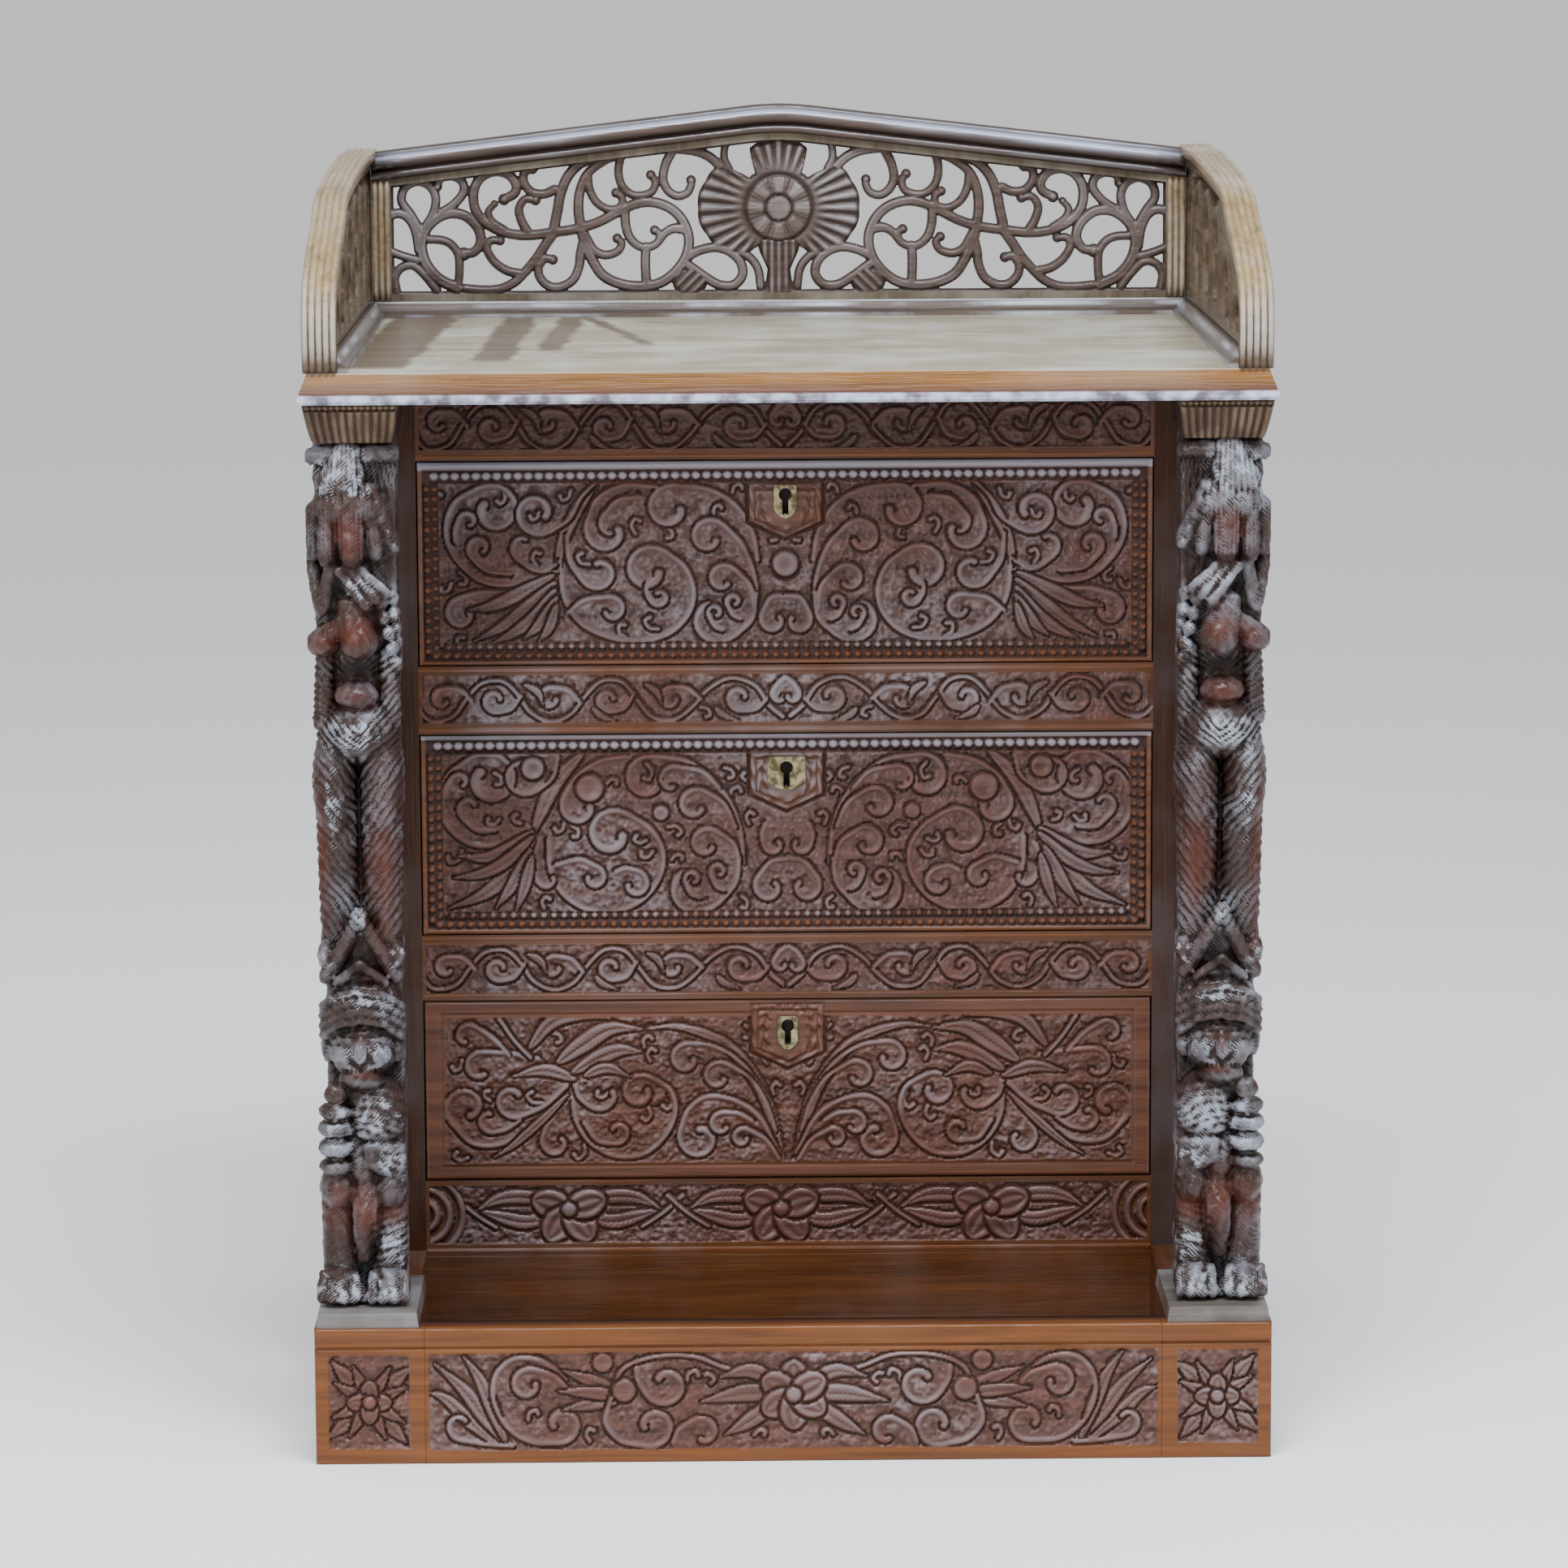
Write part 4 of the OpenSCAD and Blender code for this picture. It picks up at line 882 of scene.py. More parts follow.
def string_beads(relief, border, wear_and_sheen, x, z, low, high, edge, ledge):
    """The beads round the upper two drawers: a large row along the top, pale
    with a painted highlight, one small row along the field's lower side, and rows
    along the rim."""
    top_end = high - ledge - BEAD_BAND - 0.2
    row = beads(relief, x, z, high - ledge - 3.1, -191, 191, 2.8, 5.6)
    wear_and_sheen[row & (relief > 0.2)] = 1.0
    row = beads(relief, x, z, low + edge + 0.2, -184, 184, 1.9, 5.5) & (relief > 0.2)
    wear_and_sheen[row], border[row] = 0.6, 0.25
    rows = beads(relief, x, z, low + 5.0, -191, 191, 1.9, 5.5)
    for side in (-1, 1):
        rows |= beads(relief, x, z, side * 192.2, low + 5, top_end, 1.9, 5.4, True)
        rows |= beads(relief, x, z, side * 188.0, low + 7, top_end, 1.7, 5.4, True)
    border[rows & (relief > 0.1)] = 0.55


def drawer_design(strokes, low, high, key_z, ledge, edge):
    """edge is the border's width, and ledge the height of the plain strip over
    the beads, or 0 for a drawer without beads."""
    def design(x, z):
        relief = np.zeros(len(x))
        drawn_height = 109.4 if ledge else 100
        carve_all(relief, x, z, strokes, (0, low), (0.986, (high - low) / drawn_height))
        inner = np.minimum(FIELD_HALF - edge - np.abs(x), z - low - edge)
        inner = np.minimum(inner, high - z - max(edge, ledge + BEAD_BAND))
        field = inner > 0
        plain = ~field
        fill_gaps(relief, x, z, 185, low + edge + 4, high - edge - 4, 26)
        stipple(relief, x, z, field & (relief == 0))
        border = (0.8 if ledge else 0.38) * (1 - smoothstep(0.0, 1.2, inner))
        border = np.maximum(border, 0.06 if ledge else 0.2)
        wear_and_sheen = np.where(field, 0.42 if ledge else 0.34, 0.12 if ledge else 0.0)
        relief[plain] = 0.9 if ledge else 0.55
        rim = np.minimum(FRONT_HALF - np.abs(x), np.minimum(z - low, high - z))
        push = 1.2 * (1 - smoothstep(0, 1.6, rim)) ** 2
        if ledge:
            # The ledge is painted pale: a painted highlight along the drawer's top.
            on_ledge = plain & (high - z < ledge)
            wear_and_sheen[on_ledge], border[on_ledge] = 1.0, 0.1
            sunk = plain & (rim > 2.6) & ~on_ledge
            relief[sunk], wear_and_sheen[sunk], border[sunk] = CUT, 0.0, 0.0
            band = sunk & (z > high - ledge - BEAD_BAND)
            relief[band], wear_and_sheen[band] = 0.10, 0.4
            string_beads(relief, border, wear_and_sheen, x, z, low, high, edge, ledge)
        else:
            relief[np.abs(inner + 1.6) < 0.7] = 0.3
        # The shield stands over the carving, with rays cut round its lower end.
        top_edge = high - (ledge + BEAD_BAND + 0.4 if ledge else 2.0)
        deep = np.minimum(near_shield(x, z, key_z), top_edge - z)
        shield = deep > 0
        angle = np.arctan2(x, key_z + 2 - z)
        from_key = np.hypot(x, (z - key_z + 4) * 0.8)
        rays = 0.24 * np.cos(angle * 13 + 1.5 * np.sin(from_key)) * smoothstep(9, 12, from_key)
        rays = rays - 0.35 * np.exp(-((from_key - 13.0) / 0.8) ** 2)
        relief[shield] = (0.66 + rays[shield]) * smoothstep(0, 1.4, deep[shield])
        border, wear_and_sheen = np.where(shield, 0.35, border), np.where(shield, 0.5, wear_and_sheen)
        relief[shield & (np.abs(deep - 3.6) < 0.6)] = 0.15
        relief[(deep <= 0) & (deep > -1.3) & field] = CUT
        # The keyhole goes in behind its plate, and stops short of the lock.
        slot = (np.abs(x) < 2.6) & (z < key_z) & (z > key_z - 11.4)
        hole = slot | (np.hypot(x, z - key_z) < 4.4)
        relief[hole], border[hole], push[hole] = 0.0, 0.0, 8.4
        return relief, push, border, wear_and_sheen
    return design


# Low and high edge, keyhole's height, strokes, ledge and border width.
drawers = {
    "top": (394.8, 504.2, 486.2, top_scrolls, 4.7, 9.6),
    "middle": (247.8, 356.2, 338.2, middle_scrolls, 2.7, 9.6),
    "bottom": (111.8, 210.2, 196.2, bottom_scrolls, 0.0, 9.0),
}
for name, (low, high, key_z, strokes, ledge, edge) in drawers.items():
    front = carved_face(name + "_drawer_carving", (-FRONT_HALF, FRONT_HALF, low, high), FRONT_Y,
                        drawer_design(strokes, low, high, key_z, ledge, edge),
                        name + "_drawer", step=0.68, proud=0.0, skin=18.0,
                        tone=1.0 if ledge else 0.93,
                        pocket=(17.0, 7.0, high - key_z + 16.0))
    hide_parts(name + "_drawer_front")

# %% [markdown]
# ## The rails between the drawers
# A vine runs along each rail and curls once over and once under in every 65
# millimetres. One list of points serves the two rails and the frieze above,
# moved and stretched to fit each of them. The frieze lies under the table top,
# and its carving is painted darker as the top's shadow; the upper rail was
# rubbed the palest.

# %% The vine
vine = [
    ("scroll", [(-199, -4), (-192, -11), (-180, -9), (-172, 1), (-164, 9), (-153, 10),
                (-145, 3), (-138, -7), (-127, -12), (-116, -8), (-108, 2), (-99, 10),
                (-88, 9), (-80, -1), (-72, -10), (-60, -11), (-50, -4), (-42, 5),
                (-30, 11), (-17, 7), (-9, -4), (-2, -10)]),
    ("scroll", [(-170, 0), (-176, 6), (-184, 7)], 6.5, 0.7),
    ("scroll", [(-143, 2), (-148, -5), (-155, -7)], 7, 0.8),
    ("scroll", [(-111, -2), (-117, 5), (-125, 7)], 7, 0.8),
    ("scroll", [(-82, 3), (-87, -5), (-94, -7)], 7, 0.8),
    ("scroll", [(-46, 0), (-53, 6), (-61, 7)], 7, 0.8),
    ("scroll", [(-10, 0), (-16, -6), (-24, -7)], 7.5, 0.8),
    ("leaf", [(-141, 8), (-134, 4), (-131, -3)], 5),
    ("leaf", [(-104, -5), (-100, -9), (-92, -12)], 5),
    ("leaf", [(-76, 8), (-70, 4), (-67, -3)], 5),
    ("leaf", [(-38, -5), (-34, -9), (-26, -12)], 5),
    ("scroll", [(0, 12), (-4, 9), (-7, 5)], 5, 0.6),
]


RAIL_Y, RAIL_HALF = -34.0, 197.9


def rail_design(low, high, field_low, field_high, middle, stretch_z, rubbing_and_painted_light):
    def design(x, z):
        relief = np.zeros(len(x))
        carve_all(relief, x, z, vine, (0, middle), (1.0, stretch_z))
        inner = np.minimum(z - field_low, field_high - z)
        fill_gaps(relief, x, z, 192, field_low + 3, field_high - 3, 14)
        stipple(relief, x, z, (inner > 0) & (relief == 0))
        relief[inner <= 0] = 0.9
        relief[np.abs(inner + 1.4) < 0.6] = 0.3
        push = 1.0 * (1 - smoothstep(0, 1.5, np.minimum(z - low, high - z))) ** 2
        edge = 1 - smoothstep(-0.5, 1.0, inner)
        return relief, push, 0.75 * edge + 0.10, rubbing_and_painted_light * (1 - 0.6 * edge)
    return design


# The tone, the rail's edges, its field's edges, the vine's height and stretch,
# and how far it is rubbed and given a painted sheen. The frieze's low tone is a
# painted shadow.
rails = {
    "upper_rail": (1.2, 357.0, 394.0, 363.0, 389.0, 375.5, 1.0, 0.62),
    "lower_rail": (1.0, 211.0, 247.0, 214.0, 241.5, 228.0, 1.0, 0.30),
    "frieze_rail": (0.57, 505.0, 549.0, 510.0, 545.0, 524.0, 1.15, 0.25),
}
for name, (tone, low, high, *fit) in rails.items():
    carved_face(name + "_carving", (-RAIL_HALF, RAIL_HALF, low + 0.1, high - 0.1), RAIL_Y,
                rail_design(low, high, *fit), "chest", tone=tone)

# %% [markdown]
# ## The rail of three flowers
# Three open flowers lie between long veined leaves, and nested arches close the
# ends. It sits deeper in shadow than the other rails, so its cuts are bold.


# %% Floral rail
FLORAL_LOW, FLORAL_HIGH = 67.0, 111.0


def floral_design(x, z):
    relief = np.zeros(len(x))
    for middle in (-120.0, -4.0, 111.0):
        for side in (-1, 1):
            scroll(relief, x, z, [(middle + side * 40, 84), (middle + side * 52, 92),
                                  (middle + side * 62, 101)])
            for lift, width in ((0, 17), (-7, 11), (7, 11)):
                leaf(relief, x, z, [(middle + side * 9, 94 + lift * 0.6),
                                    (middle + side * 24, 94 + lift),
                                    (middle + side * 38, 95 + lift * 0.7),
                                    (middle + side * 50, 94)], width, 0.3, 2.8)
        flower(relief, x, z, (middle, 93.5), 17.5, 5, 90.0, 0.27)
    for side in (-1, 1):
        for r in (22, 15, 8):
            d = np.hypot(x - side * 200, z - 91)
            ring = np.abs(d - r) < 2.4
            relief[ring] = 0.9 * (1 - ((d[ring] - r) / 2.4) ** 2)
            relief[(d < r - 2.4) & (d > r - 4)] = CUT
    inner = np.minimum(z - 75.5, 109.5 - z)
    stipple(relief, x, z, (inner > 0) & (relief == 0))
    relief[inner <= 0] = 0.9
    relief[np.abs(z - 74.0) < 0.9] = 0.3
    relief[np.abs(z - 69.6) < 0.7] = 0.25
    rim = np.minimum(z - FLORAL_LOW, FLORAL_HIGH - z)
    border = 0.7 * (1 - smoothstep(-0.5, 1.0, inner))
    return relief, (1 - smoothstep(0, 1.5, rim)) ** 2, border, 0.3 + 0 * x


carved_face("floral_rail_carving",
            (-RAIL_HALF, RAIL_HALF, FLORAL_LOW + 0.1, FLORAL_HIGH - 0.1), RAIL_Y,
            floral_design, "chest", depth=2.6)

# %% [markdown]
# ## The base
# The base's front carries C-scrolls that spring from trumpet blooms, either
# side of one flower. A plain moulding runs along its upper edge, and square
# blocks with a four-leafed flower close its corners.

# %% Base front
base_scrolls = [
    ("leaf", [(-154, 10), (-168, 22), (-180, 34), (-189, 38)], 9),
    ("leaf", [(-148, 10), (-160, 24), (-172, 40), (-186, 53)], 10),
    ("leaf", [(-150, 12), (-157, 30), (-163, 45), (-171, 57)], 9),
    ("scroll", [(-146, 9), (-160, 10), (-173, 12)], 8, 0.65),
    ("scroll", [(-118, 44), (-130, 54), (-144, 56), (-154, 48), (-156, 34), (-149, 19),
                (-137, 11), (-122, 10)], 10.5, 0.85),
    ("scroll", [(-116, 37), (-123, 46), (-134, 50)], 9.5, 0.85),
    ("leaf", [(-88, 36), (-104, 43), (-120, 49)], 9, 0.3, 2.6),
    ("leaf", [(-88, 34), (-105, 31), (-120, 28)], 9, 0.3, 2.6),
    ("leaf", [(-88, 35), (-105, 37), (-122, 38)], 9, 0.3, 2.6),
    ("boss", (-99, 53), 5.5, 0.7),
    ("scroll", [(-94, 38), (-88, 50), (-72, 56), (-52, 56), (-36, 50), (-20, 46)]),
    ("scroll", [(-82, 50), (-81, 43), (-77, 36)], 12, 0.85),
    ("boss", (-88, 38), 6.5, 0.5),
    ("scroll", [(-95, 34), (-98, 21), (-90, 11), (-76, 8)], 11.5, 0.85),
    ("scroll", [(-63, 10), (-60, 17), (-53, 22)], 9, 0.7),
    ("leaf", [(-8, 36), (-26, 36), (-48, 32)], 12, 0.3, 2.6),
    ("leaf", [(-8, 32), (-22, 22), (-36, 14)], 11, 0.3, 2.6),
    ("leaf", [(-8, 41), (-22, 48), (-38, 45)], 10, 0.3, 2.6),
]


BASE_Y, BASE_TOP, FRONT_END, BLOCK_END, BLOCK_X = -210.0, 72.0, 191.0, 248.0, 220.0


def base_edges(z, relief, inner, rim):
    """The plain borders, the groove under the moulding and the rounded rim."""
    relief[inner <= 0] = 0.75
    relief[np.abs(z - 61.5) < 0.8] = 0.1
    push = 1.0 * (1 - smoothstep(0, 1.6, rim)) ** 2
    edge = 1 - smoothstep(-0.6, 1.0, inner)
    return relief, push, 0.85 * edge + 0.16, 0.34 - 0.32 * edge


def base_design(x, z):
    relief = np.zeros(len(x))
    carve_all(relief, x, z, base_scrolls)
    flower(relief, x, z, (0.0, 35.0), 15.5, 6, 90.0, 0.30)
    inner = np.minimum(np.minimum(z - 7.0, 58.5 - z), 189.0 - np.abs(x))
    fill_gaps(relief, x, z, 183, 12, 54, 16)
    stipple(relief, x, z, (inner > 0) & (relief == 0))
    return base_edges(z, relief, inner, np.minimum(z, BASE_TOP - z))


base_board = carved_face("base_front_carving", (-FRONT_END, FRONT_END, 0, BASE_TOP), BASE_Y,
                         base_design, "chest", proud=0.0, skin=18.0, tone=0.88)
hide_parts("base_front")


# %% Corner blocks
def corner_design(side):
    """Four leaves, each between two smaller ones, and a flower over them."""
    def design(x, z):
        relief = np.zeros(len(x))
        middle = np.array([side * BLOCK_X, 32.5])
        for k in range(4):
            a = math.radians(45 + 90 * k + 4.0 * side)
            for spread, width, far in ((0, 11, 29.0), (-0.32, 7, 21.0), (0.32, 7, 21.0)):
                ahead = np.array([math.cos(a + spread), math.sin(a + spread)])
                leaf(relief, x, z, [middle + out * ahead for out in (4, far * 0.55, far)],
                     width, 0.35, 3.0)
        flower(relief, x, z, middle, 9.5, 4, 0.0, 0.42)
        inner = np.minimum(np.minimum(z - 8.0, 58.0 - z), 21.0 - np.abs(x - side * BLOCK_X))
        stipple(relief, x, z, (inner > 0) & (relief == 0))
        rim = np.minimum(np.minimum(z, BASE_TOP - z), BLOCK_END - np.abs(x))
        return base_edges(z, relief, inner, rim)
    return design


for side, word in ((-1, "left"), (1, "right")):
    x0, x1 = sorted((side * FRONT_END, side * BLOCK_END))
    block = carved_face("corner_block_" + word + "_carving", (x0, x1, 0, BASE_TOP), BASE_Y,
                        corner_design(side), "chest", proud=0.0, depth=2.6, skin=18.0)
    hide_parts("corner_block_" + word)

# %% [markdown]
# ## The capitals
# Two fluted blocks carry the overhanging top. Each flares upwards, leans out
# over its column, and ends in a row of small beads under the top. They are dark
# between the flutes, with dirt and painted shade, and worn to gold on them.

# %% Capitals
FIGURE_TOP, CASE_TOP = 529.0, 549.0
CAPITAL_LOW, CAPITAL_HIGH = (202.0, 243.0), (199.0, 248.0)


def capital_design(side):
    def design(x, z):
        share = (side * x - CAPITAL_HIGH[0]) / (CAPITAL_HIGH[1] - CAPITAL_HIGH[0])
        relief = np.abs(np.sin(np.pi * share * 11)) ** 0.6
        relief = np.where(z > CASE_TOP - 3.4, 0.1, relief)
        low, high = sorted((side * CAPITAL_HIGH[0], side * CAPITAL_HIGH[1]))
        beads(relief, x, z, CASE_TOP - 1.8, low + 1, high - 1, 1.6, 3.2)
        return relief, 0 * x, 0.4 * rng.random(len(x)), 0.55 + 0.3 * (z > CASE_TOP - 3.4)
    return design


def flare(side):
    """Narrows a capital towards its foot and leans its front back there."""
    def shape(x, y, z):
        up = np.clip((z - FIGURE_TOP) / (CASE_TOP - FIGURE_TOP), 0, 1) ** 0.7
        share = (side * x - CAPITAL_HIGH[0]) / (CAPITAL_HIGH[1] - CAPITAL_HIGH[0])
        inner = CAPITAL_LOW[0] + (CAPITAL_HIGH[0] - CAPITAL_LOW[0]) * up
        outer = CAPITAL_LOW[1] + (CAPITAL_HIGH[1] - CAPITAL_LOW[1]) * up
        front = y < -160.0
        return side * (inner + (outer - inner) * share), y + np.where(front, 7.0 * (1 - up), 0), z
    return shape


for side, word in ((-1, "left"), (1, "right")):
    x0, x1 = sorted((side * CAPITAL_HIGH[0], side * CAPITAL_HIGH[1]))
    block = carved_face("capital_" + word + "_carving", (x0, x1, FIGURE_TOP, CASE_TOP), -188.0,
                        capital_design(side), "chest", capital_finish, step=0.5, proud=0.0,
                        skin=63.0, tone=0.9, shape=flare(side))
    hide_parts("capital_" + word)

# %% [markdown]
# ## The pierced gallery
# The gallery's back is a board sawn through between its scrolls. A fine grid is
# cut to the scrolls' outline, its ragged rim is pulled onto the line, and one
# extrusion gives the board its thickness. The front is then rounded over, as a
# carver softens sawn work, and the back is left flatter.
# Each stroke has its points, its width at either end, and the radius of the
# knob that it ends in.

# %% Scrolls of the gallery, from the middle and up from the table top
gallery_scrolls = [
    # The long branch: a ring beside the flower, a low bow, and an outer curl.
    ([(113, 49), (111, 41), (107, 32), (101, 23), (91, 18), (79, 16.5), (68, 18.5), (59, 25),
      (53, 34), (51.5, 44), (55, 54), (62, 61), (72, 64.5), (82, 63.5), (93, 58.5), (104, 53),
      (116, 49.5), (130, 47.5), (144, 46), (156, 47.5), (166, 52), (172.5, 59), (174.5, 67),
      (173, 75), (168, 80.5), (161, 82.5), (154, 80.5), (150, 75), (151, 70), (157, 66.5)],
     5.5, 5, 3.6),
    ([(157, 49), (164, 54), (166, 59.5), (162.5, 64)], 4.5, 3.5, 2.4),
    ([(143, 47), (147, 54), (148.5, 61), (145, 66.5), (139, 66)], 5, 4, 3.2),
    ([(128, 72), (134, 69.5), (141, 70.5), (145.5, 76), (145, 82), (140.5, 84)], 5, 4.5, 3.4),
    # The arch over the window, and the hooks that hang from it.
    ([(129, 48), (126.5, 60), (124.5, 70), (120, 80), (112, 87.5), (100, 91.5), (84, 94),
      (66, 95), (50, 94), (40, 90.5), (33, 84), (29, 77)], 5.5, 5, 0),
    ([(113, 49), (114.5, 60), (113.5, 71), (109, 81), (100, 88), (90, 92)], 5.5, 4.5, 0),
    ([(109, 80), (108, 72), (104, 64.5), (97, 60.5), (90.5, 62), (89.5, 67), (93, 70)],
     4.5, 4, 3),
    ([(90, 91), (91.5, 82), (89.5, 74), (84, 69), (77.5, 68.5), (72, 71), (70.5, 76),
      (73, 80)], 4.5, 4, 3),
    ([(61, 93), (64.5, 86), (66, 78), (63.5, 71.5), (58, 68), (52.5, 69.5), (50, 74),
      (50, 77)], 5, 4, 3),
    # Inside the ring.
    ([(88, 59), (87.5, 51), (85, 44), (80, 39.5), (74, 39), (69, 42), (68.5, 46.5),
      (71, 48.5)], 5, 4, 3),
    ([(54, 49), (60, 49.5), (65, 47), (68, 43)], 5.5, 4, 0),
    ([(76, 39), (76.5, 30), (76, 18)], 5, 5, 0),
    ([(110, 44), (106, 37.5), (99.5, 34.5), (92.5, 36.5), (90, 41), (92.5, 44)], 5, 4, 3),
    # Low curls between the ring and the corner.
    ([(111, 46), (113.5, 36), (114.5, 28), (118, 20.5), (125, 16.5), (132, 17), (137, 22),
      (137.5, 28), (134, 32.5), (129.5, 32)], 5, 4.5, 3.2),
    ([(129, 47), (134, 40), (139, 32.5), (146, 24.5), (152, 19), (160, 15.5), (170, 15),
      (180, 16)], 5.5, 4.5, 0),
    ([(148, 24), (156, 26), (163, 31), (167, 38), (165, 43), (159.5, 43)], 5, 4, 3),
    ([(184, 16), (195, 21.5), (202.5, 31), (204.5, 42), (200.5, 51.5), (191.5, 58),
      (181, 58), (173, 51.5), (170.5, 43.5), (174, 37), (180.5, 35.5)], 6, 5, 4.2),
    ([(200, 44), (193, 43.5), (187.5, 41), (183.5, 35), (183, 26), (184, 16)], 4.5, 4.5, 0),
    # The corner's loops.
    ([(205, 49), (210.5, 58.5), (215.5, 66), (213.5, 73.5), (206.5, 77), (199.5, 74.5),
      (196, 68), (197.5, 59), (203, 50)], 4.6, 4.6, 0),
    ([(193, 59), (185.5, 64), (180, 71), (181, 77), (187, 80), (193, 78.5), (195, 74)],
     5, 4, 3),
    ([(224, 57), (217, 59), (211, 55.5), (207.5, 48), (206, 38)], 5, 5, 0),
    ([(196, 15), (202, 22.5), (209, 29), (216, 28), (220, 22), (219, 14)], 4.6, 4.6, 0),
    ([(224, 38), (215, 34.5), (206, 32)], 4.5, 4.5, 0),
    # Beside the stem of the flower, and beside its upper petals.
    ([(53, 33), (45, 37), (36, 38.5), (28, 36), (22, 30), (21, 22.5), (26, 17), (34, 17),
      (42, 21.5), (49, 26.5), (54, 30)], 5, 5, 0),
    ([(36, 40), (26, 38), (17, 33), (12, 26), (10.5, 16)], 4.5, 4.5, 0),
    ([(30, 99), (31, 90), (28, 83)], 4, 4, 0),
]


# %% How far inside the wood a point lies
def inside_strokes(x, z, strokes):
    """Distance inside the nearest stroke in mm, below 0 in the open, and the
    stroke's rounded height there."""
    f = np.full(len(x), -5.0)
    relief = np.zeros(len(x))
    for points, w0, w1, curl in strokes:
        curve = smooth(points)
        half = np.linspace(w0, w1, len(curve)) * 0.56
        pick, u, _, _, width = near(x, z, curve, half, 4.0)
        depth = (1 - u) * width
        end = max(0.92 * curl, 0.56 * w1)
        ball = end - np.hypot(x[pick] - curve[-1][0], z[pick] - curve[-1][1])
        better = np.maximum(depth, ball)
        top = np.where(ball > depth, np.sqrt(np.clip(ball / end, 0, 1)),
                       0.62 + 0.38 * np.exp(-((depth / width - 0.38) / 0.24) ** 2))
        raised = better > f[pick]
        relief[pick] = np.where(raised & (better > 0), top, relief[pick])
        f[pick] = np.maximum(f[pick], better)
    return f, relief


# %% A pierced board
def pierced_board(name, box, outline, place, material, step=0.85):
    """outline(a, z) gives the distance inside the wood and its relief. place
    turns board coordinates, front or back, and relief into a point. Where two
    cells touch at a corner only, one is left out, so the board stays a solid."""
    a0, a1, z0, z1 = box
    bm = bmesh.new()
    bmesh.ops.create_grid(bm, x_segments=round((a1 - a0) / step),
                          y_segments=round((z1 - z0) / step), size=0.5)
    bmesh.ops.scale(bm, vec=(a1 - a0, z1 - z0, 1), verts=bm.verts)
    bmesh.ops.translate(bm, vec=((a0 + a1) / 2, (z0 + z1) / 2, 0), verts=bm.verts)
    co = np.array([v.co for v in bm.verts])
    f, _ = outline(co[:, 0], co[:, 1])
    open_faces = [p for p in bm.faces if f[[v.index for v in p.verts]].mean() < 0]
    bmesh.ops.delete(bm, geom=open_faces, context="FACES")
    pinched = [v for v in bm.verts if sum(e.is_boundary for e in v.link_edges) > 2]
    for v in pinched:
        bmesh.ops.delete(bm, geom=[v.link_faces[0]], context="FACES")
    bm.verts.index_update()
    co = np.array([v.co for v in bm.verts])
    rim = np.array([v.is_boundary for v in bm.verts])
    f, _ = outline(co[:, 0], co[:, 1])
    fa, _ = outline(co[:, 0] + 0.1, co[:, 1])
    fz, _ = outline(co[:, 0], co[:, 1] + 0.1)
    slope = np.column_stack([fa - f, fz - f]) / 0.1
    size = np.maximum((slope ** 2).sum(1), 0.3)
    move = -(f / size)[:, None] * slope
    far = np.linalg.norm(move, axis=1)
    move *= np.minimum(1, step * 0.7 / np.maximum(far, 1e-6))[:, None]
    for v, m, r in zip(bm.verts, move, rim):
        if r:
            v.co.x += m[0]
            v.co.y += m[1]
    made = bmesh.ops.extrude_face_region(bm, geom=bm.faces[:], use_keep_orig=True)["geom"]
    bmesh.ops.translate(bm, vec=(0, 0, 1), verts=points_in(made))
    piece = finish_piece(name, bm, material, "chest")
    co = read_points(piece.data)
    f, relief = outline(co[:, 0], co[:, 1])
    front = co[:, 2] > 0.5
    write_points(piece.data, place(co[:, 0], co[:, 1], front, f, relief) * MM)
    # The tone darkens towards each stroke's sawn edge: a painted shade.
    painted_edge_shade = 0.3 + 0.7 * smoothstep(0.2, 1.8, f)
    keep_masks(piece.data, np.where(front, relief * painted_edge_shade, 0.4), 0 * f, 0.8 + 0 * f)
    bm = bmesh.new()
    bm.from_mesh(piece.data)
    bmesh.ops.recalc_face_normals(bm, faces=bm.faces)
    bm.to_mesh(piece.data)
    bm.free()
    print(name, len(piece.data.polygons), "faces")
    return piece


# %% The gallery's back
TOP_Z, GALLERY_HALF, END_HEIGHT, BEND_HEIGHT = 565.0, 232.5, 77.5, 27.5
WINDOW_HALF, SILL = 221.5, 13.0
FRET_Y, HALF_FRET, HEART_UP = 202.0, 1.6, 61.0


def slope_up(x):
    """Height of the crest rail's straight lengths over the table top."""
    return END_HEIGHT + BEND_HEIGHT * (1 - np.abs(x) / GALLERY_HALF)


petal_reach = ([-90, -64, -56, -40, -20, 0, 20, 36, 46, 56, 64, 90],
               [19, 19, 31, 38, 44, 46, 44.5, 41, 23, 23, 37, 38.5])


